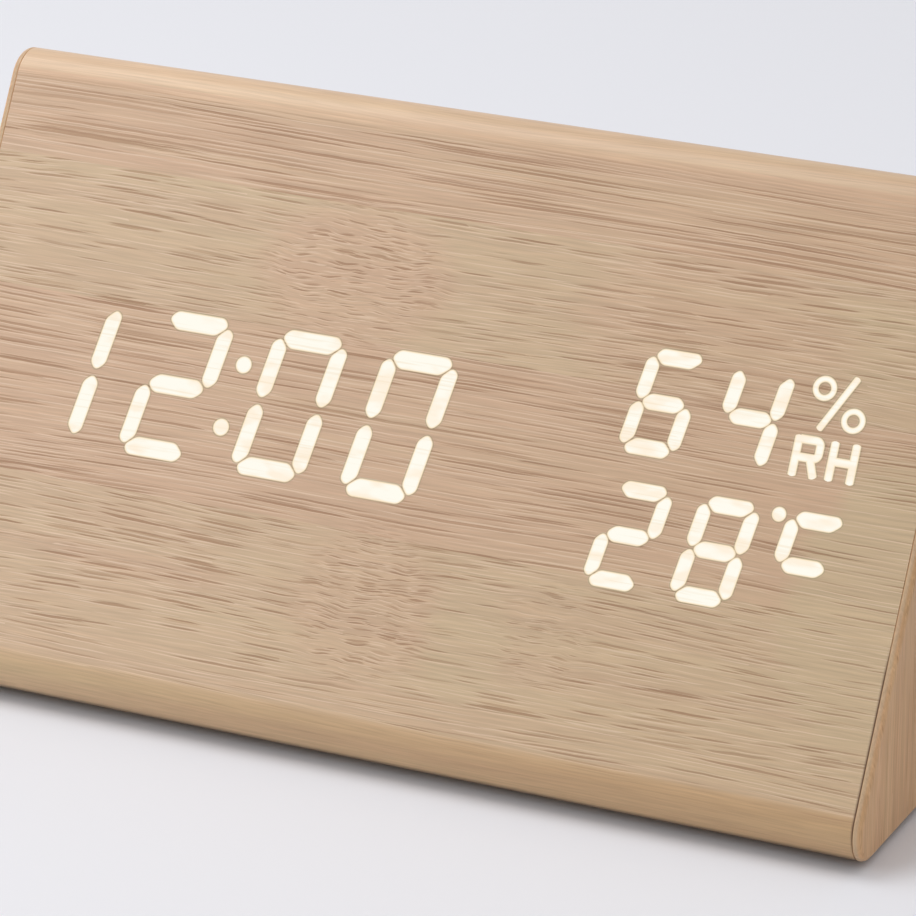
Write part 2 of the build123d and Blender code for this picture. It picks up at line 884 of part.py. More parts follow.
def contact_strip(side, rows):
    """The metal at one end of the bay that serves the given rows."""
    rises = [cell_rises[row] for row in rows]
    span = max(rises) - min(rises) + contact_width
    strip = Box(contact_thickness, span, contact_height)
    strip = Pos(contact_thickness / 2, sum(rises) / len(rises), 0) * strip
    for row in rows:
        raised_end = cell_directions[row] == side
        feature = contact_bump() if raised_end else contact_leaf()
        strip += Pos(0, cell_rises[row], 0) * feature
    if len(rows) == 1:
        tab_top = contact_height / 2
        tab_bottom = bay_bottom - cell_depth + tab_length
        tab = Box(contact_thickness, tab_width, tab_bottom - tab_top)
        strip += Pos(contact_thickness / 2, rises[0], -(tab_top + tab_bottom) / 2) * tab
    turned = strip if side < 0 else mirror(strip, about=Plane.YZ)
    return on_rear(Pos(bay_centre + side * bay_length / 2, 0, -cell_depth) * turned)


def contact_strips(side):
    """Both pieces of metal at one end: one for a single cell and one that joins two."""
    free_rows = [row for row in (0, cell_count - 1) if free_contacts()[0 if row == 0 else 1][2] == side]
    paired = [row for row in range(cell_count) if row not in free_rows]
    return [contact_strip(side, rows) for rows in (free_rows, paired)]


def battery_lead(end):
    """An insulated wire from a contact's tab to the control board's inner face."""
    x, rise, side = free_contacts()[end]
    landing = control_centre + control_board_width / 2 - lead_wire_landing
    tab_end = bay_bottom + tab_length
    drop = tab_end + lead_wire_drop
    path = FilletPolyline(
        (x, rise, -tab_end),
        (x, rise, -drop),
        (landing, rise, -drop),
        (landing, rise, -control_back_depth),
        radius=lead_wire_bend,
    )
    profile = Pos(x, rise, -tab_end) * Circle(lead_wire_diameter / 2)
    return on_rear(sweep(profile, path=path))


# Control board and what it carries

def control_circuit_board():
    """The board behind the buttons."""
    board = block(control_board_width, control_board_height, control_board_depth, control_back_depth)
    board = Pos(control_centre, 0, 0) * board
    for x, rise in post_places:
        board -= Pos(x, rise, 0) * screw_hole(control_back_depth + screw_head_height, True)
    return on_rear(board)


def control_board_screws():
    """The screws that hold the control board to the housing's posts."""
    return [on_rear(screw(control_back_depth + screw_head_height, True), x, rise) for x, rise in post_places]


def button(index):
    """A push button: domed cap, flange behind the plate and a stem towards its switch."""
    x, rise = button_places[index]
    cap_radius = button_diameter / 2
    flange_radius = cap_radius + button_flange_width
    flange_top = -plate_back - button_flange_gap
    switch_top = control_board_depth - tact_height - tact_stem_height
    stem_end = -switch_top + button_travel + button_stop_gap
    cap = disc(button_diameter, plate_recess - button_proud, -flange_top)
    cap = fillet(cap.faces().sort_by(Axis.Z)[-1].edges(), button_round)
    flange = disc(2 * flange_radius, -flange_top, button_flange_thickness - flange_top)
    stem = disc(button_stem_diameter, -flange_top, -stem_end)
    return on_rear(cap + flange + stem, x, rise)


def button_switches():
    """The square bodies of the three push switches."""
    body = block(tact_size, tact_size, control_board_depth - tact_height, control_board_depth, tact_corner)
    return [on_rear(body, x, rise) for x, rise in button_places]


def button_switch_stems():
    """The round stems on top of the push switches."""
    top = control_board_depth - tact_height
    stem = disc(tact_stem_diameter, top - tact_stem_height, top)
    return [on_rear(stem, x, rise) for x, rise in button_places]


def slide_switch_body():
    """The slide switch, with the channel that its knob runs in."""
    length, breadth, height = switch_body
    top = control_board_depth - height
    channel_length = switch_knob_size + switch_travel + 2 * switch_fit
    channel_bottom = top + switch_knob_depth + switch_floor_gap
    body = block(length, breadth, top, control_board_depth)
    body -= block(channel_length, switch_knob_size + 2 * switch_fit, top - overrun, channel_bottom)
    return on_rear(body, *control_place(switch_place))


def slide_switch_knob():
    """The knob that stands through the flange, at the left end of its travel."""
    top = plate_recess - switch_knob_proud
    bottom = control_board_depth - switch_body[2] + switch_knob_depth
    knob = block(switch_knob_size, switch_knob_size, top, bottom)
    knob = fillet(knob.faces().sort_by(Axis.Z)[-1].edges(), switch_knob_round)
    x, rise = control_place(switch_place)
    return on_rear(knob, x - switch_travel / 2, rise)


def power_socket():
    """The low-voltage inlet: a square body with a round nose and a stepped bore."""
    body = block(socket_size, socket_size, plate_back, control_board_depth)
    body += disc(socket_nose_diameter, plate_recess, plate_back)
    body -= disc(socket_bore_diameter, plate_recess - overrun, plate_recess + socket_bore_depth)
    return on_rear(body, *control_place(socket_place))


def power_socket_pin():
    """The pin in the middle of the inlet."""
    bottom = plate_recess + socket_bore_depth
    pin = disc(socket_pin_diameter, bottom - socket_pin_length, bottom)
    return on_rear(pin, *control_place(socket_place))


def microphone():
    """The capsule that hears a clap, behind its hole."""
    capsule = disc(microphone_diameter, control_board_depth - microphone_height, control_board_depth)
    return on_rear(capsule, *control_place(microphone_place))


def climate_sensor():
    """The temperature and humidity sensor, behind the vents."""
    length, breadth, height = sensor_size
    top = control_board_depth - height
    body = block(length, breadth, top, control_board_depth)
    body -= disc(sensor_port_diameter, top - overrun, top + sensor_port_depth)
    return on_rear(body, *control_place(sensor_place))


def microcontroller():
    """The clock's own chip, on the board's inner face."""
    return on_rear(chip(controller_lead_count, control_back_depth), *inner_place(controller_inset))


def quartz_crystal():
    """The small can that keeps the time, lying on the board."""
    can = Cylinder(crystal_diameter / 2, crystal_length, rotation=(0, 90, 0))
    can = fillet(can.edges().filter_by(GeomType.CIRCLE), crystal_round)
    depth = control_back_depth + crystal_diameter / 2 + crystal_gap
    return on_rear(Pos(0, 0, -depth) * can, *inner_place(crystal_inset))


def buzzer():
    """The round alarm buzzer, with its sound hole."""
    bottom = control_back_depth + buzzer_height
    body = disc(buzzer_diameter, control_back_depth, bottom)
    body -= disc(buzzer_hole_diameter, bottom - buzzer_hole_depth, bottom + overrun)
    return on_rear(body, *inner_place(buzzer_inset))


def backup_cell_holder():
    """The round cup that holds the backup cell."""
    pocket = backup_diameter + 2 * backup_fit
    cup_bottom = control_back_depth + holder_floor + backup_height
    cup = disc(pocket + 2 * holder_wall, control_back_depth, cup_bottom)
    cup -= disc(pocket, control_back_depth + holder_floor, cup_bottom + overrun)
    return on_rear(cup, *inner_place(holder_inset))


def backup_cell():
    """The coin cell that keeps the time when the power is off."""
    top = control_back_depth + holder_floor
    bottom = top + backup_height
    cell = disc(backup_diameter, top + backup_step, bottom)
    cell += disc(backup_diameter - 2 * backup_rim, top, top + backup_step)
    return on_rear(cell, *inner_place(holder_inset))


# Every node, by the name that its file has

nodes = {
    "bamboo_wrap": bamboo_wrap(),
    "left_end_plate": end_plate(-1),
    "right_end_plate": end_plate(1),
    "front_board": front_board(),
    "rear_board": rear_board(),
    "base_board": base_board(),
    "left_end_board": end_board(-1),
    "right_end_board": end_board(1),
    "foot_pads": foot_pads(),
    "diffuser_film": diffuser_film(),
    "display_housing": display_housing(),
    "time_segments_lit": segment_guides("time", True),
    "time_segments_unlit": segment_guides("time", False),
    "colon_dots": colon_guides(),
    "humidity_segments_lit": segment_guides("humidity", True),
    "humidity_segments_unlit": segment_guides("humidity", False),
    "temperature_segments_lit": segment_guides("temperature", True),
    "temperature_segments_unlit": segment_guides("temperature", False),
    "degree_dot": degree_guide(),
    "sign_light_blocks": sign_guides(),
    "display_leds": display_leds(),
    "display_circuit_board": display_circuit_board(),
    "driver_chips": driver_chips(),
    "smoothing_capacitors": smoothing_capacitors(),
    "display_screws": display_screws(),
    "display_spacers": display_spacers(),
    "ribbon_cable": ribbon_cable(),
    "rear_housing": rear_housing(),
    "rear_housing_screws": rear_housing_screws(),
    "battery_door": battery_door(),
    "battery_cell_lower": battery_cell(0),
    "battery_cell_middle": battery_cell(1),
    "battery_cell_upper": battery_cell(2),
    "left_contacts": contact_strips(-1),
    "right_contacts": contact_strips(1),
    "positive_lead": battery_lead(0),
    "negative_lead": battery_lead(1),
    "control_circuit_board": control_circuit_board(),
    "control_board_screws": control_board_screws(),
    "set_button": button(0),
    "down_button": button(1),
    "up_button": button(2),
    "button_switches": button_switches(),
    "button_switch_stems": button_switch_stems(),
    "slide_switch_body": slide_switch_body(),
    "slide_switch_knob": slide_switch_knob(),
    "power_socket": power_socket(),
    "power_socket_pin": power_socket_pin(),
    "microphone": microphone(),
    "climate_sensor": climate_sensor(),
    "microcontroller": microcontroller(),
    "quartz_crystal": quartz_crystal(),
    "buzzer": buzzer(),
    "backup_cell_holder": backup_cell_holder(),
    "backup_cell": backup_cell(),
}

os.makedirs("parts", exist_ok=True)
for name, shape in nodes.items():
    solids = [solid for item in (shape if isinstance(shape, list) else [shape]) for solid in item.solids()]
    piece = solids[0] if len(solids) == 1 else Compound(solids)
    export_step(piece, os.path.join("parts", name + ".step"))
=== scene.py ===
import json
import math

import bmesh
import bpy
from mathutils import Matrix, Vector


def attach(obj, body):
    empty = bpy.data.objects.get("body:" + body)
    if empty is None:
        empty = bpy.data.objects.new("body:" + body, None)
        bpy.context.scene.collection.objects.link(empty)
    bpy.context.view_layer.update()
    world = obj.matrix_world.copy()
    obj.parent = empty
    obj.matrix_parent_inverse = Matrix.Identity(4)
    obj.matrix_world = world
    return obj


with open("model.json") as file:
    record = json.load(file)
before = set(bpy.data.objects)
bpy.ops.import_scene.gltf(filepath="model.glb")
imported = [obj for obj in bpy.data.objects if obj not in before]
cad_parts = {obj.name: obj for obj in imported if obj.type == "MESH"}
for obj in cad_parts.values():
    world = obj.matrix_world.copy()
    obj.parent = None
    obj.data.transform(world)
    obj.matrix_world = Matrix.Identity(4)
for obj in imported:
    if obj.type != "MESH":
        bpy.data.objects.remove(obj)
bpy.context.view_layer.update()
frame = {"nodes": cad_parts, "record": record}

# Digital LED desk clock: its finishes, lit figures, lights and camera.
# Lengths are in millimetres until a mesh is placed; MM turns them into metres.
# X runs along the clock, the display faces -Y and leans back, Z is up.

MM = 0.001

# The case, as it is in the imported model
HALF_LENGTH = 75.0
END_PLATE = 1.2
SHARP_SIDE = 99.0
EDGE_RADIUS = 4.8
PAD_HEIGHT = 0.8
FACE_TILT = math.radians(30.0)
HALF_BASE = SHARP_SIDE * math.sin(FACE_TILT)
ROUNDED_REACH = EDGE_RADIUS / math.tan(FACE_TILT)

# The lit figures on the front face: their middles along X, height up the slope, and sizes
FACE_CENTRE = SHARP_SIDE / 2
TIME_RISE = 0.15
LEAN = math.tan(math.radians(8.2))
ROWS = {
    "time_figures": {
        "signs": "1200",
        "middles": (-55.4, -37.6, -19.7, -2.6),
        "drops": (0.0, 0.0, 0.0, 0.25),
        "height": FACE_CENTRE + TIME_RISE,
        "figure": (9.3, 18.6),
        "strokes": (2.45, 2.75),
        "middle_gap": 0.52,
    },
    "humidity_figures": {
        "signs": "64",
        "middles": (35.0, 47.7),
        "drops": (0.0, 0.0),
        "height": FACE_CENTRE + 9.2,
        "figure": (6.9, 12.65),
        "strokes": (2.15, 2.35),
        "middle_gap": 0.2,
    },
    "temperature_figures": {
        "signs": "28C",
        "middles": (34.05, 46.75, 59.45),
        "drops": (0.0, 0.0, 0.0),
        "height": FACE_CENTRE - 9.4,
        "figure": (6.9, 12.65),
        "strokes": (2.15, 2.35),
        "middle_gap": 0.2,
    },
}

# How far a segment's tip stays back from its digit's corner
MITRE_GAP = 0.16
SEGMENT_ENDS = {
    "a": ((-1, 1), (1, 1)),
    "b": ((1, 1), (1, 0)),
    "c": ((1, 0), (1, -1)),
    "d": ((-1, -1), (1, -1)),
    "e": ((-1, 0), (-1, -1)),
    "f": ((-1, 1), (-1, 0)),
    "g": ((-1, 0), (1, 0)),
}
SEGMENTS_OF = {
    "0": "abcdef",
    "1": "bc",
    "2": "abged",
    "4": "fgbc",
    "6": "afgecd",
    "8": "abcdefg",
    "C": "afg",
}
UPRIGHT = "bcef"

# How high a lit plate stands, how far its fringe of painted shade reaches, and the share of its
# width that its flat middle keeps
LIFT = 0.04
FRINGE = 0.22
CORE_SHARE = 0.12

# A lit segment's section, from its back to its middle: how far in from its outline, and how high as
# a share of its lift
RIM_SECTION = (
    (-FRINGE, -0.5), (-FRINGE, 0.25), (0.0, 0.5), (0.1, 0.7), (0.25, 0.85), (0.5, 0.95), (9.0, 1.0),
)


def srgb(red, green, blue):
    """A colour written in 0 to 255 steps, as the linear colour that shaders take."""
    linear = []
    for step in (red, green, blue):
        share = step / 255
        linear.append(share / 12.92 if share <= 0.04045 else ((share + 0.055) / 1.055) ** 2.4)
    return (*linear, 1.0)


# Node helpers

def set_inputs(tree, node, values):
    """Links or fills the inputs of a node."""
    for key, value in values.items():
        if isinstance(value, bpy.types.NodeSocket):
            tree.links.new(value, node.inputs[key])
        else:
            node.inputs[key].default_value = value


def put(tree, kind, inputs=None, **settings):
    """Adds a node, sets it up, and links or fills its inputs."""
    node = tree.nodes.new(kind)
    for name, value in settings.items():
        setattr(node, name, value)
    set_inputs(tree, node, inputs or {})
    return node


def calc(tree, operation, *values, clamp=False):
    """One step of arithmetic."""
    kind = "ShaderNodeMath"
    return put(tree, kind, dict(enumerate(values)), operation=operation, use_clamp=clamp).outputs[0]


def stretch(tree, place, factors):
    """A place with each direction scaled on its own."""
    inputs = {0: place, 1: factors}
    return put(tree, "ShaderNodeVectorMath", inputs, operation="MULTIPLY").outputs[0]


def add(tree, place, move):
    """A place moved along."""
    return put(tree, "ShaderNodeVectorMath", {0: place, 1: move}, operation="ADD").outputs[0]


def in_mm(tree, place):
    """A place in metres, turned into millimetres."""
    return stretch(tree, place, (1 / MM, 1 / MM, 1 / MM))


def split(tree, place):
    """The three parts of a place."""
    return put(tree, "ShaderNodeSeparateXYZ", {0: place}).outputs


def join(tree, **parts):
    """A place put together from its parts."""
    return put(tree, "ShaderNodeCombineXYZ", parts).outputs[0]


def product(tree, first, second):
    """One value times another."""
    return calc(tree, "MULTIPLY", first, second)


def centred(tree, value):
    """A random value from 0 to 1, moved to lie about 0."""
    return calc(tree, "SUBTRACT", value, 0.5)


def distance_squared(tree, value, centre, reach):
    """The square of a value's distance from a centre, counted in reaches."""
    away = calc(tree, "DIVIDE", calc(tree, "SUBTRACT", value, centre), reach)
    return calc(tree, "POWER", away, 2.0)


def noise(tree, place, scale=1.0, detail=2.0, roughness=0.5):
    """Soft random values at a place, from 0 to 1."""
    inputs = {"Vector": place, "Scale": scale, "Detail": detail, "Roughness": roughness}
    return put(tree, "ShaderNodeTexNoise", inputs).outputs[0]


def ease(tree, value, low, high, to_low=0.0, to_high=1.0):
    """A smooth step between two values."""
    inputs = {
        "Value": value,
        "From Min": low,
        "From Max": high,
        "To Min": to_low,
        "To Max": to_high,
    }
    kind = "ShaderNodeMapRange"
    return put(tree, kind, inputs, interpolation_type="SMOOTHSTEP").outputs[0]


def blend(tree, share, first, second, how="MIX"):
    """One colour over another."""
    inputs = {0: share, 6: first, 7: second}
    kind = "ShaderNodeMix"
    return put(tree, kind, inputs, data_type="RGBA", blend_type=how, clamp_result=False).outputs[2]


def mix(tree, share, first, second):
    """A value between two others."""
    inputs = {0: share, 2: first, 3: second}
    return put(tree, "ShaderNodeMix", inputs, data_type="FLOAT").outputs[0]


def new_group(name, inputs, outputs, kind="ShaderNodeTree"):
    """An empty node group with named inputs and outputs."""
    tree = bpy.data.node_groups.new(name, kind)
    for label, (sort, value) in inputs.items():
        socket = tree.interface.new_socket(label, in_out="INPUT", socket_type="NodeSocket" + sort)
        if value is not None:
            socket.default_value = value
    for label, sort in outputs.items():
        tree.interface.new_socket(label, in_out="OUTPUT", socket_type="NodeSocket" + sort)
    return tree, tree.nodes.new("NodeGroupInput").outputs, tree.nodes.new("NodeGroupOutput").inputs


def use(tree, group, inputs=None):
    """Places a node group in a material, with its own values."""
    return put(tree, "ShaderNodeGroup", inputs, node_tree=group).outputs


def new_material(name):
    """A material with its Principled shader, ready to be linked."""
    material = bpy.data.materials.new(name)
    material.use_nodes = True
    tree = material.node_tree
    shader = tree.nodes["Principled BSDF"]
    place = tree.nodes.new("ShaderNodeTexCoord").outputs["Object"]
    return material, tree, shader, place


def bump(tree, height, distance):
    """A surface normal from a pattern that rises by a distance in millimetres."""
    inputs = {"Height": height, "Distance": distance * MM, "Strength": 1.0}
    return put(tree, "ShaderNodeBump", inputs).outputs[0]


# Bamboo

# Pores to a millimetre across the grain, and their reach along it in millimetres
LONG_PORE_ROWS = 2.5
SHORT_PORE_ROWS = 3.2
LONGEST_PORE_REACH = 40.0
SHORT_PORE_REACH = 4.4

BAMBOO_SHADES = {
    "olive": srgb(206, 180, 147),
    "pink": srgb(209, 174, 145),
    "pore": srgb(152, 109, 76),
    # A painted highlight, for the lower lip of a pore catching light from above
    "painted_lip_highlight": srgb(233, 206, 180),
    # Painted shade in the seam beside an end plate
    "seam": srgb(104, 76, 54),
    # Painted shade: a contact shadow along the case's foot
    "under": srgb(64, 42, 26),
}


def make_bamboo_grain():
    """Bamboo with its grain along X: tone, hairs, long pores, and short ones where a joint was."""
    tree, given, out = new_group(
        "bamboo_grain",
        {
            "Place": ("Vector", None),
            "Pink": ("Float", 0.5),
            "Crowding": ("Float", 0.5),
            "Broken": ("Float", 0.0),
            "Smooth": ("Float", 0.0),
            "Reach": ("Float", 14.0),
        },
        {"Colour": "Color", "Pores": "Float", "Height": "Float"},
    )
    place = given["Place"]
    wander = noise(tree, stretch(tree, place, (0.015, 0.06, 0.06)), detail=0.0)
    shake = noise(tree, stretch(tree, place, (0.11, 0.22, 0.22)), detail=1.0)
    crinkle = noise(tree, stretch(tree, place, (0.24, 0.5, 0.5)), detail=1.0)
    shift = product(tree, centred(tree, wander), 2.8)
    shaken = product(tree, centred(tree, shake), 1.1)
    shift = calc(tree, "MULTIPLY_ADD", shaken, given["Broken"], shift)
    most = calc(tree, "MULTIPLY_ADD", given["Broken"], 0.5, 0.14)
    shift = calc(tree, "MULTIPLY_ADD", centred(tree, crinkle), most, shift)
    moved = add(tree, place, join(tree, Y=shift, Z=shift))
    patch = noise(tree, stretch(tree, place, (0.05, 0.25, 0.25)), detail=1.0)
    widest = calc(tree, "MULTIPLY_ADD", given["Crowding"], 0.22, 0.23)
    widest = calc(tree, "MULTIPLY_ADD", centred(tree, patch), 0.25, widest)

    def pores_and_lip_highlights(reach, across):
        """Pores, one to each long narrow cell, and a painted highlight on the lip below each."""
        factors = join(tree, X=calc(tree, "DIVIDE", 1.0, reach), Y=across, Z=across)
        spread = stretch(tree, moved, factors)
        cells = put(tree, "ShaderNodeTexVoronoi", {"Vector": spread, "Scale": 1.0}).outputs
        chance, strength = put(tree, "ShaderNodeSeparateColor", {0: cells["Color"]}).outputs[:2]
        width = product(tree, widest, calc(tree, "MULTIPLY_ADD", chance, 0.8, 0.6))
        beyond = calc(tree, "SUBTRACT", cells["Distance"], width)
        pore = ease(tree, beyond, -0.12, 0.05, 1.0, 0.0)
        pore = product(tree, pore, calc(tree, "MULTIPLY_ADD", strength, 0.65, 0.35))
        offset = {0: cells["Position"], 1: spread}
        offset = put(tree, "ShaderNodeVectorMath", offset, operation="SUBTRACT").outputs[0]
        below = split(tree, offset)[2]
        begun = ease(tree, beyond, -0.06, 0.08)
        painted_lip_highlight = product(tree, begun, ease(tree, beyond, 0.12, 0.42, 1.0, 0.0))
        return pore, product(tree, painted_lip_highlight, ease(tree, below, 0.1, 0.34))

    kept = calc(tree, "MULTIPLY_ADD", given["Smooth"], -0.85, 1.0)
    long_pore, long_lip_highlight = pores_and_lip_highlights(given["Reach"], LONG_PORE_ROWS)
    short_pore, short_lip_highlight = pores_and_lip_highlights(SHORT_PORE_REACH, SHORT_PORE_ROWS)
    pores = product(tree, mix(tree, given["Broken"], long_pore, short_pore), kept)
    painted_lip_highlight = product(tree, mix(tree, given["Broken"], long_lip_highlight, short_lip_highlight), kept)

    bands = noise(tree, stretch(tree, place, (0.012, 0.3, 0.3)), detail=2.0)
    hairs = noise(tree, stretch(tree, moved, (0.08, 3.0, 3.0)), detail=2.0, roughness=0.65)
    tone = calc(tree, "MULTIPLY_ADD", centred(tree, bands), 1.3, given["Pink"], clamp=True)
    colour = blend(tree, tone, BAMBOO_SHADES["olive"], BAMBOO_SHADES["pink"])
    bright = calc(tree, "MULTIPLY_ADD", centred(tree, bands), -0.16, 1.0)
    bright = calc(tree, "MULTIPLY_ADD", centred(tree, hairs), 0.5, bright)
    lit = put(tree, "ShaderNodeCombineColor", {0: bright, 1: bright, 2: bright}).outputs[0]
    colour = blend(tree, 1.0, colour, lit, "MULTIPLY")
    colour = blend(tree, product(tree, pores, 0.62), colour, BAMBOO_SHADES["pore"])
    # Painted highlight on the lower lip of each pore
    colour = blend(tree, product(tree, painted_lip_highlight, 0.68), colour, BAMBOO_SHADES["painted_lip_highlight"])
    tree.links.new(colour, out["Colour"])
    tree.links.new(pores, out["Pores"])
    height = calc(tree, "MULTIPLY_ADD", hairs, 0.3, product(tree, pores, -1.0))
    tree.links.new(height, out["Height"])
    return tree


def strip_steps(tree, height, values):
    """A value for each laminated strip, read off by the height up the slope."""
    node = put(tree, "ShaderNodeValToRGB", {"Fac": calc(tree, "DIVIDE", height, SHARP_SIDE)})
    node.color_ramp.interpolation = "CONSTANT"
    elements = node.color_ramp.elements
    while len(elements) < len(values):
        elements.new(1.0)
    for element, edge, value in zip(elements, (0.0, *STRIP_EDGES), values):
        element.position = edge / SHARP_SIDE
        element.color = (value, value, value, 1.0)
    return node.outputs[0]


# Where the case's laminated strips meet, up the slope, and the marks that break their run: middle
# along X, height, reach both ways, then how broken, how much pinker and how much more crowded
STRIP_EDGES = (9.0, 13.0, 34.0, 60.0, 79.0, 91.5)
MARKS = (
    (-14.0, 69.5, 16.0, 11.0, 1.0, 0.6, 0.2),
    (-2.0, 24.0, 12.0, 12.0, 1.0, 0.3, 0.18),
    (25.0, 25.0, 8.0, 8.0, 0.8, 0.0, 0.12),
    (-38.0, 25.0, 15.0, 8.0, 0.0, 0.2, 0.35),
    (14.0, 22.0, 7.0, 9.0, 0.0, -0.3, -0.4),
    (40.0, 69.0, 22.0, 14.0, 0.0, 0.5, 0.4),
    (57.0, 50.0, 7.0, 6.0, 0.0, 0.6, 0.0),
    (70.0, 38.0, 13.0, 20.0, 0.0, -1.0, -0.25),
)

# Each strip, from the lowest up: how pink it is, how crowded with pores, how far its pores reach
# as a share of the longest, and how far along the bamboo it was cut, as a share of the spacing
STRIP_PINK = (0.3, 0.4, 0.3, 0.9, 0.25, 0.85, 0.6)
STRIP_CROWDING = (0.1, 0.5, 0.42, 0.62, 0.36, 0.75, 0.3)
STRIP_REACH = (0.5, 0.5, 0.3, 0.6, 0.3, 0.9, 0.5)
STRIP_START = (0.0, 0.15, 0.3, 0.45, 0.6, 0.75, 0.9)
STRIP_SPACING = 400.0
GRAIN_VALUES = ("Pink", "Crowding", "Broken", "Smooth", "Reach")


def make_case_figure():
    """Where the sheet round the case is pink, crowded with pores, broken by a joint, or smooth."""
    tree, given, out = new_group(
        "case_figure",
        {"Position": ("Vector", None)},
        {"Place": "Vector", **{name: "Float" for name in GRAIN_VALUES}},
    )
    place = in_mm(tree, given["Position"])
    along, depth, up = split(tree, place)
    slope = calc(tree, "DIVIDE", calc(tree, "SUBTRACT", up, PAD_HEIGHT), math.cos(FACE_TILT))
    edge_noise = noise(tree, stretch(tree, place, (0.03, 0.1, 0.1)), detail=1.0)
    wavy = calc(tree, "MULTIPLY_ADD", centred(tree, edge_noise), 1.2, slope)
    pink = strip_steps(tree, wavy, STRIP_PINK)
    crowding = strip_steps(tree, wavy, STRIP_CROWDING)
    pore_reach = product(tree, strip_steps(tree, wavy, STRIP_REACH), LONGEST_PORE_REACH)
    start = strip_steps(tree, wavy, STRIP_START)
    broken = 0.0
    for centre, height, reach, rise, breaks, pinker, fuller in MARKS:
        across = distance_squared(tree, along, centre, reach)
        upward = distance_squared(tree, slope, height, rise)
        mark = ease(tree, calc(tree, "ADD", across, upward), 0.4, 1.2, 1.0, 0.0)
        broken = calc(tree, "MAXIMUM", broken, product(tree, mark, breaks))
        pink = calc(tree, "MULTIPLY_ADD", mark, pinker, pink)
        crowding = calc(tree, "MULTIPLY_ADD", mark, fuller, crowding)
    round_begins = SHARP_SIDE - ROUNDED_REACH
    top = ease(tree, slope, round_begins - 1.2, round_begins + 0.8)
    low = ease(tree, slope, ROUNDED_REACH - 0.6, ROUNDED_REACH + 0.6, 1.0, 0.0)
    base_ends = HALF_BASE - ROUNDED_REACH
    low = product(tree, low, ease(tree, calc(tree, "ABSOLUTE", depth), base_ends, base_ends + 1.0))
    smooth = calc(tree, "MAXIMUM", top, low)
    apart = join(tree, X=product(tree, start, STRIP_SPACING))
    tree.links.new(add(tree, place, apart), out["Place"])
    for name, value in zip(GRAIN_VALUES, (pink, crowding, broken, smooth, pore_reach)):
        tree.links.new(value, out[name])
    return tree


bamboo_grain = make_bamboo_grain()
case_figure = make_case_figure()


def case_grain(tree, place):
    """The grain group fed with the figure of the case."""
    figure = use(tree, case_figure, {"Position": place})
    return use(tree, bamboo_grain, {name: figure[name] for name in ("Place", *GRAIN_VALUES)})


# Heights in millimetres over which the painted shade in the seam grows, and fades again
SEAM_SHADE_GROWS = (3.0, 7.0)
SEAM_SHADE_FADES = (24.0, 30.0)


def seam_shade(tree, colour, place, inside):
    """Puts painted shade on a finish beside the seam of sheet and end plate, most part way up."""
    along, _, up = split(tree, in_mm(tree, place))
    seam = HALF_LENGTH - END_PLATE
    near = calc(tree, "ABSOLUTE", along)
    if inside:
        painted_shade = ease(tree, near, seam - 0.3, seam - 0.02)
    else:
        painted_shade = ease(tree, near, seam + 0.05, seam + 0.2, 1.0, 0.0)
    # Painted shade in the seam, strongest between these heights
    seam_shade_strength = ease(tree, up, *SEAM_SHADE_GROWS, 0.15, 0.75)
    seam_shade_strength = calc(tree, "MINIMUM", seam_shade_strength, ease(tree, up, *SEAM_SHADE_FADES, 0.75, 0.0))
    return blend(tree, product(tree, painted_shade, seam_shade_strength), colour, BAMBOO_SHADES["seam"])


# Heights, in metres, over which the sheet's painted light fades: the painted shade on the low
# round, the painted contact shadow along its foot, that shadow's lower side, and the painted
# highlight on the top edge
PAINTED_LOW_SHADE_BAND = (8.0 * MM, 8.8 * MM)
PAINTED_SHADOW_BAND = (1.5 * MM, 2.9 * MM)
PAINTED_SHADOW_BASE = (0.85 * MM, 1.0 * MM)
PAINTED_HIGHLIGHT_BAND = (79.1 * MM, 79.6 * MM)

# Painted light at the sheet's left and right end: a painted falloff all over, painted shade on the
# low round and a painted highlight on the top edge
PAINTED_FALLOFF_TINTS = ((0.975, 0.965, 0.94, 1.0), (0.925, 0.915, 0.86, 1.0))
PAINTED_LOW_SHADE_TINTS = ((0.985, 0.965, 0.89, 1.0), (0.95, 0.865, 0.745, 1.0))
PAINTED_HIGHLIGHT_TINTS = ((1.13, 1.13, 1.13, 1.0), (1.03, 1.02, 1.02, 1.0))

# Tints of the end plates: the two that their grain varies between, and the painted shade
# on their rounded edges
END_TINTS = ((1.14, 1.0, 0.79, 1.0), (1.0, 0.85, 0.64, 1.0))
PAINTED_END_EDGE_SHADE = (0.93, 0.92, 0.85, 1.0)


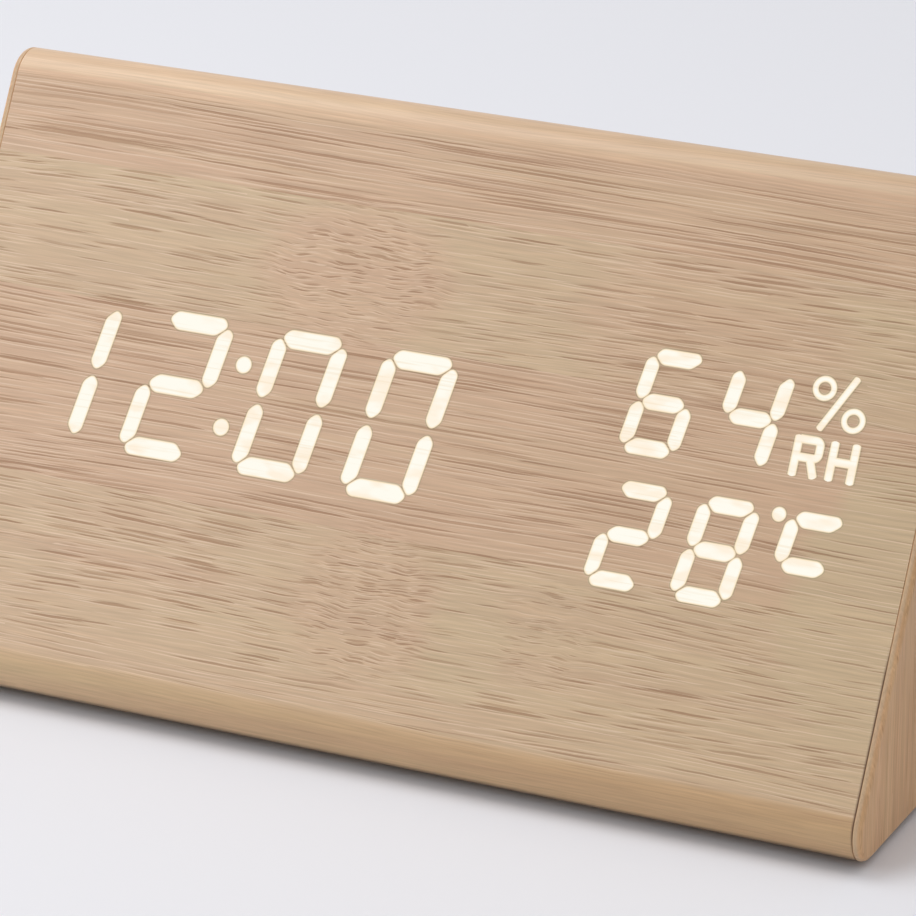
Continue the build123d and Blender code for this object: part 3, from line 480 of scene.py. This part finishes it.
def make_bamboo_face():
    """The sheet of bamboo round the front, the back and the base."""
    material, tree, shader, place = new_material("bamboo_face")
    grain = case_grain(tree, place)
    along, _, up = split(tree, place)
    # Painted light falloff: the sheet's tints run darker and yellower towards the right
    painted_falloff_share = ease(tree, along, -HALF_LENGTH * MM, HALF_LENGTH * MM)
    painted_falloff_tint = blend(tree, painted_falloff_share, *PAINTED_FALLOFF_TINTS)
    colour = blend(tree, 1.0, grain["Colour"], painted_falloff_tint, "MULTIPLY")
    # Painted shade on the low round, darker and warmer towards the right
    low = ease(tree, up, *PAINTED_LOW_SHADE_BAND, 1.0, 0.0)
    painted_low_shade_tint = blend(tree, painted_falloff_share, *PAINTED_LOW_SHADE_TINTS)
    colour = blend(tree, low, colour, painted_low_shade_tint, "MULTIPLY")
    # Painted contact shadow: a dark line low on the round, where the case meets the table
    under = ease(tree, up, *PAINTED_SHADOW_BAND, 1.0, 0.0)
    under = product(tree, under, ease(tree, up, *PAINTED_SHADOW_BASE))
    colour = blend(tree, product(tree, under, 0.8), colour, BAMBOO_SHADES["under"])
    # Painted highlight on the top edge, brighter at the left than the right
    high = ease(tree, up, *PAINTED_HIGHLIGHT_BAND)
    painted_highlight_tint = blend(tree, painted_falloff_share, *PAINTED_HIGHLIGHT_TINTS)
    colour = blend(tree, high, colour, painted_highlight_tint, "MULTIPLY")
    set_inputs(tree, shader, {
        "Base Color": seam_shade(tree, colour, place, True),
        "Roughness": calc(tree, "MULTIPLY_ADD", grain["Pores"], 0.25, 0.38),
        "Normal": bump(tree, grain["Height"], 0.03),
        "Specular IOR Level": 0.5,
    })
    return material


def make_bamboo_end():
    """The end plates, whose grain stands upright."""
    material, tree, shader, place = new_material("bamboo_end")
    along, depth, up = split(tree, in_mm(tree, place))
    turned = join(tree, X=up, Y=depth, Z=along)
    outward = calc(tree, "ABSOLUTE", along)
    smooth = ease(tree, outward, HALF_LENGTH - 0.3, HALF_LENGTH - 0.02, 1.0, 0.0)
    smooth = calc(tree, "MAXIMUM", smooth, 0.45)
    grain = use(tree, bamboo_grain, {
        "Place": turned,
        "Pink": 0.62,
        "Crowding": 0.35,
        "Broken": 0.0,
        "Smooth": smooth,
        "Reach": 22.0,
    })
    wide = noise(tree, stretch(tree, turned, (0.012, 0.35, 0.2)), detail=2.0)
    tint = blend(tree, ease(tree, wide, 0.36, 0.64), *END_TINTS)
    facing = split(tree, tree.nodes.new("ShaderNodeTexCoord").outputs["Normal"])[0]
    # Painted shade: the end plates darkened where they turn away from the end, on their rounded
    # edges
    edge = ease(tree, calc(tree, "ABSOLUTE", facing), 0.3, 0.7, 1.0, 0.0)
    tint = blend(tree, edge, tint, PAINTED_END_EDGE_SHADE)
    colour = blend(tree, 1.0, grain["Colour"], tint, "MULTIPLY")
    set_inputs(tree, shader, {
        "Base Color": seam_shade(tree, colour, place, False),
        "Roughness": calc(tree, "MULTIPLY_ADD", grain["Pores"], 0.25, 0.42),
        "Normal": bump(tree, grain["Height"], 0.03),
        "Specular IOR Level": 0.4,
    })
    return material


def make_lit_veneer():
    """The sheet over a lit segment: warm white with its grain, and painted shade at its fringe."""
    material, tree, shader, place = new_material("lit_veneer")
    grain = case_grain(tree, place)
    rim = put(tree, "ShaderNodeAttribute", attribute_name="from_rim").outputs["Fac"]
    mottle = noise(tree, stretch(tree, place, (160.0, 420.0, 420.0)), detail=2.0)
    colour = blend(tree, ease(tree, mottle, 0.46, 0.66), srgb(255, 252, 240), srgb(255, 242, 222))
    colour = blend(tree, product(tree, grain["Pores"], 0.3), colour, srgb(240, 214, 176))
    colour = blend(tree, ease(tree, rim, 0.0, 0.35), srgb(252, 232, 196), colour)
    glow = ease(tree, rim, -0.06, 0.12)
    # Painted shade: the wood round each segment darkened and greened over the fringe
    painted_shade = ease(tree, rim, -FRINGE, -0.3 * FRINGE)
    wood = blend(tree, painted_shade, grain["Colour"], (0.74, 0.8, 0.72, 1.0), "MULTIPLY")
    set_inputs(tree, shader, {
        "Base Color": blend(tree, glow, wood, (0.0, 0.0, 0.0, 1.0)),
        "Roughness": calc(tree, "MULTIPLY_ADD", grain["Pores"], 0.25, 0.38),
        "Emission Color": colour,
        "Emission Strength": glow,
        "Specular IOR Level": calc(tree, "SUBTRACT", 0.5, product(tree, glow, 0.5)),
    })
    return material


# Other finishes

def make_mottle():
    """Fine irregularity: a value between two limits and a height for bump."""
    tree, given, out = new_group(
        "mottle",
        {
            "Place": ("Vector", None),
            "Grain": ("Float", 1.0),
            "Low": ("Float", 0.0),
            "High": ("Float", 1.0),
        },
        {"Value": "Float", "Height": "Float"},
    )
    fine = noise(tree, given["Place"], given["Grain"], detail=3.0)
    wide = noise(tree, given["Place"], product(tree, given["Grain"], 0.08), detail=2.0)
    both = calc(tree, "MULTIPLY_ADD", wide, 0.6, product(tree, fine, 0.4))
    value = put(tree, "ShaderNodeMapRange", {
        "Value": both,
        "From Min": 0.3,
        "From Max": 0.7,
        "To Min": given["Low"],
        "To Max": given["High"],
    })
    tree.links.new(value.outputs[0], out["Value"])
    tree.links.new(fine, out["Height"])
    return tree


mottle = make_mottle()


# Where a cell's bare end stops and its printed ring begins and ends: metres from the cell's end,
# over which each edge fades
BARE_EDGE = (1.5 * MM, 1.55 * MM)
RING_BEGINS = (3.0 * MM, 3.05 * MM)
RING_ENDS = (4.4 * MM, 4.45 * MM)


def make_cell_jacket():
    """A cell's printed sleeve, with bare metal at both ends."""
    material, tree, shader, place = new_material("cell_jacket")
    ends = [corner[0] for corner in frame["nodes"]["battery_cell_lower"].bound_box]
    low, high = min(ends), max(ends)
    along = split(tree, place)[0]
    from_end = calc(tree, "SUBTRACT", along, low)
    from_end = calc(tree, "MINIMUM", from_end, calc(tree, "SUBTRACT", high, along))
    bare = ease(tree, from_end, *BARE_EDGE, 1.0, 0.0)
    tone = use(tree, mottle, {"Place": in_mm(tree, place), "Grain": 1.5})
    sleeve = blend(tree, tone["Value"], srgb(30, 88, 58), srgb(44, 108, 72))
    ring = ease(tree, from_end, *RING_BEGINS)
    ring = product(tree, ring, ease(tree, from_end, *RING_ENDS, 1.0, 0.0))
    sleeve = blend(tree, ring, sleeve, srgb(196, 178, 120))
    metal = blend(tree, tone["Value"], srgb(190, 190, 192), srgb(216, 216, 217))
    set_inputs(tree, shader, {
        "Base Color": blend(tree, bare, sleeve, metal),
        "Metallic": calc(tree, "MAXIMUM", bare, product(tree, ring, 0.7)),
        "Roughness": calc(tree, "MULTIPLY_ADD", tone["Value"], 0.12, 0.26),
        "Coat Weight": calc(tree, "MULTIPLY_ADD", bare, -0.3, 0.3),
        "Normal": bump(tree, tone["Height"], 0.006),
    })
    return material


def make_circuit_green():
    """A lacquered circuit board with its tracks and plated holes showing through."""
    material, tree, shader, place = new_material("circuit_green")
    place = in_mm(tree, place)
    along, _, up = split(tree, place)
    flat = join(tree, X=along, Y=up)
    tracks = put(tree, "ShaderNodeTexBrick", {
        "Vector": flat,
        "Scale": 1.0,
        "Mortar Size": 0.16,
        "Mortar Smooth": 0.2,
        "Brick Width": 5.3,
        "Row Height": 1.3,
    }, offset=0.37, squash=1.6, squash_frequency=3).outputs["Fac"]
    holes = {"Vector": flat, "Scale": 0.28, "Randomness": 0.8}
    holes = put(tree, "ShaderNodeTexVoronoi", holes).outputs["Distance"]
    tone = use(tree, mottle, {"Place": place, "Grain": 1.5})
    plated = ease(tree, holes, 0.1, 0.12, 1.0, 0.0)
    colour = blend(tree, tone["Value"], srgb(15, 70, 41), srgb(22, 84, 50))
    colour = blend(tree, tracks, colour, srgb(38, 118, 70))
    height = calc(tree, "MULTIPLY_ADD", tracks, 1.0, product(tree, plated, 1.4))
    set_inputs(tree, shader, {
        "Base Color": blend(tree, plated, colour, srgb(206, 190, 140)),
        "Metallic": plated,
        "Roughness": calc(tree, "MULTIPLY_ADD", tone["Value"], 0.1, 0.26),
        "Coat Weight": calc(tree, "MULTIPLY_ADD", plated, -0.4, 0.4),
        "Normal": bump(tree, height, 0.02),
    })
    return material


# From one conductor of the ribbon cable to the next, in millimetres
RIBBON_PITCH = 1.27


def make_ribbon_grey():
    """A flat cable whose conductors lie side by side along X."""
    material, tree, shader, place = new_material("ribbon_grey")
    place = in_mm(tree, place)
    along = split(tree, place)[0]
    wave = calc(tree, "SINE", product(tree, along, 2 * math.pi / RIBBON_PITCH))
    # Painted shade in the valleys between the conductors
    painted_valley_shade = ease(tree, wave, -1.0, -0.2, 1.0, 0.0)
    tone = use(tree, mottle, {"Place": place, "Grain": 1.5})
    colour = blend(tree, tone["Value"], srgb(140, 142, 146), srgb(160, 162, 166))
    set_inputs(tree, shader, {
        "Base Color": blend(tree, product(tree, painted_valley_shade, 0.6), colour, srgb(92, 94, 98)),
        "Roughness": calc(tree, "MULTIPLY_ADD", tone["Value"], 0.1, 0.45),
        "Normal": bump(tree, wave, 0.12),
    })
    return material


def plain_finish(
    name, colours, roughness, grain, height, metallic=0.0, coat=0.0, along=(1, 1, 1), **extra
):
    """A finish with two near colours, a range of roughness and a fine texture, in millimetres."""
    material, tree, shader, place = new_material(name)
    place = stretch(tree, place, tuple(share / MM for share in along))
    tone = use(tree, mottle, {"Place": place, "Grain": grain})
    low, high = roughness
    gloss = use(tree, mottle, {"Place": place, "Grain": grain, "Low": low, "High": high})
    set_inputs(tree, shader, {
        "Base Color": blend(tree, tone["Value"], srgb(*colours[0]), srgb(*colours[1])),
        "Roughness": gloss["Value"],
        "Metallic": metallic,
        "Coat Weight": coat,
        "Normal": bump(tree, tone["Height"], height),
        **extra,
    })
    return material


# Each plain finish: its two colours, its range of roughness, the scale of its texture to a
# millimetre, that texture's height in millimetres, and whatever else sets it apart
METAL = {"metallic": 1.0}
GLOW = {"Emission Color": srgb(255, 247, 226), "Emission Strength": 0.9}
PLAIN_FINISHES = {
    "fibreboard": (((150, 118, 84), (178, 146, 108)), (0.75, 0.9), 3.0, 0.05, {"along": (1, 3, 3)}),
    "pad_rubber": (((38, 36, 34), (58, 56, 53)), (0.7, 0.85), 4.0, 0.03, {}),
    "film": (((222, 219, 210), (236, 233, 226)), (0.5, 0.62), 6.0, 0.005, {}),
    "white_plastic": (((224, 223, 216), (238, 237, 231)), (0.42, 0.55), 4.0, 0.01, {}),
    "segment_lit": (((250, 240, 214), (255, 250, 234)), (0.3, 0.4), 2.0, 0.005, GLOW),
    "segment_unlit": (((196, 194, 186), (214, 212, 204)), (0.3, 0.4), 2.0, 0.005, {}),
    "led": (((226, 196, 98), (240, 216, 130)), (0.2, 0.3), 5.0, 0.005, {"coat": 0.5}),
    "chip_black": (((28, 28, 30), (46, 46, 48)), (0.5, 0.62), 5.0, 0.01, {}),
    "can_metal": (((196, 197, 199), (224, 225, 226)), (0.25, 0.4), 3.0, 0.004, METAL),
    "screw_steel": (((150, 151, 155), (190, 190, 192)), (0.28, 0.45), 4.0, 0.006, METAL),
    "nylon": (((216, 212, 198), (230, 227, 216)), (0.45, 0.55), 3.0, 0.01, {}),
    "black_plastic": (((32, 32, 34), (47, 47, 49)), (0.44, 0.6), 5.5, 0.06, {}),
    "contact_nickel": (((196, 194, 188), (222, 220, 214)), (0.2, 0.34), 3.0, 0.004, METAL),
    "lead_red": (((150, 24, 20), (176, 36, 30)), (0.4, 0.5), 3.0, 0.01, {}),
    "lead_black": (((24, 24, 25), (38, 38, 39)), (0.4, 0.5), 3.0, 0.01, {}),
    "button_plastic": (((38, 38, 40), (52, 52, 54)), (0.3, 0.4), 3.0, 0.005, {}),
    "switch_steel": (((160, 161, 164), (196, 196, 198)), (0.3, 0.45), 4.0, 0.004, METAL),
    "knob_plastic": (((206, 204, 196), (222, 220, 212)), (0.4, 0.5), 4.0, 0.008, {}),
    "pin_brass": (((200, 164, 92), (226, 192, 120)), (0.22, 0.34), 4.0, 0.004, METAL),
    "sensor_white": (((220, 220, 214), (236, 236, 231)), (0.5, 0.6), 5.0, 0.006, {}),
    "coin_steel": (((176, 177, 178), (206, 206, 207)), (0.25, 0.4), 3.0, 0.004, METAL),
}

finishes = {
    "bamboo_face": make_bamboo_face(),
    "bamboo_end": make_bamboo_end(),
    "circuit_green": make_circuit_green(),
    "ribbon_grey": make_ribbon_grey(),
    "cell_jacket": make_cell_jacket(),
}
for name, (colours, roughness, grain, height, extra) in PLAIN_FINISHES.items():
    finishes[name] = plain_finish(name, colours, roughness, grain, height, **extra)

for part in frame["record"]["subparts"]:
    for carried in frame["nodes"][part["node"]].material_slots:
        carried.material = finishes[part["material_slot"]]


# Lit figures on the front face

def face_matrix():
    """Takes a drawing in millimetres, X along and Y up the slope, onto the front face."""
    sine, cosine = math.sin(FACE_TILT), math.cos(FACE_TILT)
    return Matrix((
        (MM, 0.0, 0.0, 0.0),
        (0.0, sine * MM, -cosine * MM, -HALF_BASE * MM),
        (0.0, cosine * MM, sine * MM, PAD_HEIGHT * MM),
        (0.0, 0.0, 0.0, 1.0),
    ))


def store(tree, geometry, name, value):
    """Stores a value on every point of a mesh or a curve."""
    inputs = {"Geometry": geometry, "Name": name, "Value": value}
    kind = "GeometryNodeStoreNamedAttribute"
    return put(tree, kind, inputs, domain="POINT", data_type="FLOAT").outputs[0]


def stored(tree, name):
    """A value that was stored on the points."""
    inputs = {"Name": name}
    return put(tree, "GeometryNodeInputNamedAttribute", inputs, data_type="FLOAT").outputs[0]


def make_stroke_tree():
    """Turns drawn lines into raised round-ended strokes, marked with the way in from the rim."""
    tree, given, out = new_group(
        "lit_strokes",
        {
            "Lines": ("Geometry", None),
            "Stroke": ("Float", 1.0),
            "Round": ("Float", 0.3),
            "Bend": ("Float", 0.0),
            "Fringe": ("Float", FRINGE),
            "Lift": ("Float", LIFT),
            "Finish": ("Material", None),
        },
        {"Strokes": "Geometry"},
        "GeometryNodeTree",
    )
    lines = put(tree, "GeometryNodeMeshToCurve", {0: given["Lines"]}).outputs[0]
    bend = {"Curve": lines, "Radius": given["Bend"], "Count": 6}
    lines = put(tree, "GeometryNodeFilletCurve", bend, mode="POLY").outputs[0]
    dense = {"Curve": lines, "Length": 0.06}
    dense = put(tree, "GeometryNodeResampleCurve", dense, mode="LENGTH").outputs[0]
    along = tree.nodes.new("GeometryNodeSplineParameter").outputs["Length"]
    whole = tree.nodes.new("GeometryNodeSplineLength").outputs["Length"]
    from_end = calc(tree, "MINIMUM", along, calc(tree, "SUBTRACT", whole, along))
    share = calc(tree, "DIVIDE", from_end, given["Round"], clamp=True)
    swell = calc(tree, "SQRT", product(tree, share, calc(tree, "SUBTRACT", 2.0, share)))
    widest = calc(tree, "MULTIPLY_ADD", given["Stroke"], 0.5, given["Fringe"])
    radius = product(tree, swell, widest)
    kept = store(tree, dense, "half_width", radius)
    facing = put(tree, "GeometryNodeSetCurveNormal", {"Curve": kept}, mode="Z_UP").outputs[0]
    ring = {"Resolution": 32, "Radius": 1.0}
    ring = put(tree, "GeometryNodeCurvePrimitiveCircle", ring, mode="RADIUS").outputs[0]
    side = tree.nodes.new("GeometryNodeInputPosition").outputs[0]
    side = calc(tree, "ABSOLUTE", split(tree, side)[0])
    marked = store(tree, ring, "side_share", calc(tree, "SUBTRACT", 1.0, side))
    thin = calc(tree, "DIVIDE", given["Lift"], widest)
    flat = join(tree, X=1.0, Y=thin, Z=1.0)
    profile = put(tree, "GeometryNodeTransform", {"Geometry": marked, "Scale": flat}).outputs[0]
    skin = put(tree, "GeometryNodeCurveToMesh", {
        "Curve": facing, "Profile Curve": profile, "Scale": radius, "Fill Caps": True,
    }).outputs[0]
    half = stored(tree, "half_width")
    sides = stored(tree, "side_share")
    inward = calc(tree, "SUBTRACT", product(tree, half, sides), given["Fringe"])
    rim = store(tree, skin, "from_rim", inward)
    real = put(tree, "GeometryNodeRealizeInstances", {"Geometry": rim}).outputs[0]
    dressed = {"Geometry": real, "Material": given["Finish"]}
    dressed = put(tree, "GeometryNodeSetMaterial", dressed).outputs[0]
    tree.links.new(dressed, out["Strokes"])
    return tree


stroke_tree = make_stroke_tree()
lit_veneer = make_lit_veneer()
scene = bpy.context.scene


def finished_piece(name, mesh):
    """A piece at the origin, with its place in its mesh, riding on the case."""
    mesh.name = name
    piece = bpy.data.objects.new(name, mesh)
    scene.collection.objects.link(piece)
    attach(piece, "case")
    return piece


def strokes_mesh(lines, **sizes):
    """The mesh of lines drawn on the front face, each a run of points, as raised strokes."""
    drawing = bpy.data.meshes.new("lines")
    points = [point for line in lines for point in line]
    edges = []
    start = 0
    for line in lines:
        edges += [(start + step, start + step + 1) for step in range(len(line) - 1)]
        start += len(line)
    drawing.from_pydata([(x, y, 0.0) for x, y in points], edges, [])
    drawn = bpy.data.objects.new("lines", drawing)
    scene.collection.objects.link(drawn)
    modifier = drawn.modifiers.new("strokes", "NODES")
    modifier.node_group = stroke_tree
    sizes["Finish"] = lit_veneer
    for socket in stroke_tree.interface.items_tree:
        if socket.in_out == "INPUT" and socket.name in sizes:
            modifier[socket.identifier] = sizes[socket.name]
    drawn.update_tag()
    evaluated = drawn.evaluated_get(bpy.context.evaluated_depsgraph_get())
    mesh = bpy.data.meshes.new_from_object(evaluated)
    bpy.data.objects.remove(drawn)
    mesh.transform(face_matrix())
    return mesh


def rounded(points, cut, steps=5):
    """A closed run of points with its corners rounded."""
    smooth = []
    for before, corner, after in zip(points[-1:] + points[:-1], points, points[1:] + points[:1]):
        first = corner.lerp(before, min(0.48, cut / (before - corner).length))
        last = corner.lerp(after, min(0.48, cut / (after - corner).length))
        for step in range(steps + 1):
            share = step / steps
            smooth.append(first.lerp(corner, share).lerp(corner.lerp(last, share), share))
    return smooth


def segment_end(half, tip, turning):
    """The corners of a segment's end, as runs from its middle line's end and distances to one side.

    Where the digit turns, the inner side is mitred and the outer side is fuller."""
    if turning:
        corners = (1.0, -1.0), (0.0, -0.1), (0.0, 0.4), (0.55, 1.0)
    else:
        corners = (0.8, -1.0), (0.0, -0.3), (0.0, 0.3), (0.8, 1.0)
    return [(tip + run * half, side * half) for run, side in corners]


def add_segment(build, rim, row, centre, drop, letter):
    """One lit segment as a thin plate with a domed edge and a fringe, leaning with its digit."""
    wide, tall = row["figure"]
    ends = [Vector((x * wide / 2, y * tall / 2)) for x, y in SEGMENT_ENDS[letter]]
    length = (ends[1] - ends[0]).length
    along = (ends[1] - ends[0]) / length
    middle = (ends[0] + ends[1]) / 2
    outward = middle.normalized() if letter in "ad" else Vector((math.copysign(1, middle.x), 0))
    if letter == "g":
        outward = Vector((0, 1))
    half = row["strokes"][0 if letter in UPRIGHT else 1] / 2
    corners = []
    for x, y in SEGMENT_ENDS[letter]:
        tip = MITRE_GAP if y else (row["middle_gap"] if letter in UPRIGHT else MITRE_GAP + 0.25)
        corners.append(segment_end(half, tip, bool(y)))
    points = [Vector(point) for point in corners[0]]
    points += [Vector((length - run, side)) for run, side in reversed(corners[1])]
    outline = rounded(points, 0.45 * half)
    spine = (half + MITRE_GAP, length - half - MITRE_GAP)
    loops = []
    for inset, height in RIM_SECTION:
        loop = []
        for point in outline:
            root = Vector((min(max(point.x, spine[0]), spine[1]), 0))
            reach = (point - root).length
            run, side = root + (point - root) * max(1 - inset / reach, CORE_SHARE)
            place = ends[0] + along * run + outward * side
            vert = build.verts.new((
                centre + place.x + LEAN * place.y, row["height"] - drop + place.y, height * LIFT,
            ))
            vert[rim] = min(inset, (1 - CORE_SHARE) * reach)
            loop.append(vert)
        loops.append(loop)
    for lower, upper in zip(loops, loops[1:]):
        for step in range(len(outline)):
            after = (step + 1) % len(outline)
            build.faces.new((lower[step], lower[after], upper[after], upper[step]))
    build.faces.new(loops[0])
    build.faces.new(loops[-1])


def build_mesh(name, build):
    """A mesh from a drawing in millimetres on the front face, with the lit finish."""
    bmesh.ops.recalc_face_normals(build, faces=build.faces)
    mesh = bpy.data.meshes.new(name)
    build.to_mesh(mesh)
    build.free()
    mesh.materials.append(lit_veneer)
    mesh.transform(face_matrix())
    return mesh


for name, row in ROWS.items():
    build = bmesh.new()
    rim = build.verts.layers.float.new("from_rim")
    for centre, drop, sign in zip(row["middles"], row["drops"], row["signs"]):
        for letter in SEGMENTS_OF[sign]:
            add_segment(build, rim, row, centre, drop, letter)
    finished_piece(name, build_mesh(name, build))


def lens_rings(name, rings):
    """Rings with a thin lens-shaped section: each a centre, an outer and an inner radius."""
    build = bmesh.new()
    rim = build.verts.layers.float.new("from_rim")
    turns, steps = 48, 20
    for (x, y), outer, inner in rings:
        middle, half = (outer + inner) / 2, (outer - inner) / 2
        loops = []
        for turn in range(turns):
            angle = 2 * math.pi * turn / turns
            loop = []
            for step in range(steps):
                swing = 2 * math.pi * step / steps
                reach = middle + (half + FRINGE) * math.cos(swing)
                vert = build.verts.new((
                    x + reach * math.cos(angle),
                    y + reach * math.sin(angle),
                    LIFT * math.sin(swing),
                ))
                vert[rim] = half - abs(reach - middle)
                loop.append(vert)
            loops.append(loop)
        for turn in range(turns):
            for step in range(steps):
                here, there = loops[turn], loops[(turn + 1) % turns]
                after = (step + 1) % steps
                build.faces.new((here[step], there[step], there[after], here[after]))
    finished_piece(name, build_mesh(name, build))


def dome_dots(name, dots):
    """Round dots with a thin domed section on both sides: each a centre and a radius."""
    build = bmesh.new()
    rim = build.verts.layers.float.new("from_rim")
    turns, steps = 40, 16
    for (x, y), radius in dots:
        rows = []
        for step in range(1, steps):
            swing = math.pi * step / steps
            reach = (radius + FRINGE) * math.sin(swing)
            row = []
            for turn in range(turns):
                angle = 2 * math.pi * turn / turns
                vert = build.verts.new((
                    x + reach * math.cos(angle),
                    y + reach * math.sin(angle),
                    LIFT * math.cos(swing),
                ))
                vert[rim] = radius - reach
                row.append(vert)
            rows.append(row)
        for upper, lower in zip(rows, rows[1:]):
            for turn in range(turns):
                after = (turn + 1) % turns
                build.faces.new((upper[turn], lower[turn], lower[after], upper[after]))
        build.faces.new(rows[0])
        build.faces.new(rows[-1])
    finished_piece(name, build_mesh(name, build))


# Centres, radii and points of the signs, in millimetres: along X, then up the slope
COLON_MIDDLE = -28.65
COLON_RISE = 4.6
COLON_RADIUS = 1.25
DEGREE_DOT = ((54.62, 46.6), 1.05)
PERCENT_RINGS = (((57.25, 64.35), 1.75, 0.85), ((62.15, 60.6), 1.75, 0.85))
PERCENT_SLASH = ((61.7, 66.5), (57.5, 58.6))
HUMIDITY_LETTERS = (
    ((55.15, 51.9), (55.15, 57.7)),
    ((55.15, 57.15), (58.35, 57.15), (58.35, 54.7), (55.15, 54.7)),
    ((57.25, 54.6), (58.25, 51.95)),
    ((60.35, 52.0), (60.35, 57.6)),
    ((63.4, 51.95), (63.4, 57.65)),
    ((60.35, 54.8), (63.4, 54.8)),
)

dome_dots("colon_dots_lit", [
    ((COLON_MIDDLE + LEAN * rise, FACE_CENTRE + TIME_RISE + rise), COLON_RADIUS)
    for rise in (-COLON_RISE, COLON_RISE)
])
dome_dots("degree_dot_lit", [DEGREE_DOT])
lens_rings("percent_rings_lit", PERCENT_RINGS)
finished_piece("percent_slash_lit", strokes_mesh([PERCENT_SLASH], Stroke=1.05))
finished_piece("humidity_letters_lit", strokes_mesh(HUMIDITY_LETTERS, Stroke=1.25, Bend=0.7))


# Floor, lights and camera

# The camera fitted to the photograph: place in metres, directions, and lens in millimetres
CAMERA_PLACE = (0.2892, -0.6198, 0.3031)
CAMERA_FORWARD = (-0.3987, 0.8390, -0.3703)
CAMERA_RIGHT = (0.9032, 0.4293, 0.0)
CAMERA_LENS = 202.42


def make_floor():
    """A wide pale table top."""
    build = bmesh.new()
    half = 4.0
    build.faces.new([build.verts.new(corner) for corner in (
        (-half, -half, 0.0), (half, -half, 0.0), (half, half, 0.0), (-half, half, 0.0)
    )])
    mesh = bpy.data.meshes.new("table_top")
    build.to_mesh(mesh)
    build.free()
    floor = bpy.data.objects.new("table_top", mesh)
    scene.collection.objects.link(floor)
    material, tree, shader, place = new_material("table_paint")
    wide = noise(tree, place, scale=1.3, detail=1.0)
    set_inputs(tree, shader, {
        "Base Color": blend(tree, wide, (0.825, 0.83, 0.875, 1.0), (0.85, 0.855, 0.90, 1.0)),
        "Roughness": 0.6,
        "Specular IOR Level": 0.3,
    })
    mesh.materials.append(material)


def make_world():
    """An even pale surround for camera and reflections, which lights the scene more from above."""
    world = bpy.data.worlds.new("surround")
    world.use_nodes = True
    tree = world.node_tree
    sky = tree.nodes["Background"]
    path = tree.nodes.new("ShaderNodeLightPath").outputs
    seen = calc(tree, "MAXIMUM", path["Is Camera Ray"], path["Is Glossy Ray"])
    seen = calc(tree, "MAXIMUM", seen, path["Is Transmission Ray"])
    towards = tree.nodes.new("ShaderNodeTexCoord").outputs["Generated"]
    high = calc(tree, "MAXIMUM", split(tree, towards)[2], 0.0)
    cast = blend(tree, high, (0.24, 0.24, 0.24, 1.0), (0.79, 0.79, 0.79, 1.0))
    tint = blend(tree, seen, cast, (0.80, 0.79, 0.83, 1.0))
    tree.links.new(tint, sky.inputs["Color"])
    scene.world = world


def make_lamp(name, place, target, size, power):
    """A soft square lamp aimed at a point."""
    lamp = bpy.data.lights.new(name, "AREA")
    lamp.shape = "SQUARE"
    lamp.size = size
    lamp.energy = power
    carrier = bpy.data.objects.new(name, lamp)
    carrier.location = place
    aim = Vector(target) - Vector(place)
    carrier.rotation_euler = aim.to_track_quat("-Z", "Y").to_euler()
    scene.collection.objects.link(carrier)


def make_camera():
    """The photograph's viewpoint, fitted to the face's edges and figures."""
    forward = Vector(CAMERA_FORWARD).normalized()
    right = Vector(CAMERA_RIGHT).normalized()
    upward = right.cross(forward)
    view = bpy.data.cameras.new("camera")
    view.lens = CAMERA_LENS
    view.sensor_width = 36.0
    view.clip_start = 0.01
    view.clip_end = 50.0
    carrier = bpy.data.objects.new("camera", view)
    turn = Matrix((right, upward, -forward)).transposed().to_4x4()
    carrier.matrix_world = Matrix.Translation(CAMERA_PLACE) @ turn
    scene.collection.objects.link(carrier)
    scene.camera = carrier


make_floor()
make_world()
make_lamp("overhead_lamp", (-0.42, -0.04, 0.88), (0.0, 0.0, 0.03), size=0.55, power=3.3)
make_lamp("front_lamp", (-0.75, -0.85, 0.75), (0.0, 0.0, 0.04), size=0.7, power=3.0)
make_camera()

scene.view_settings.view_transform = "Standard"
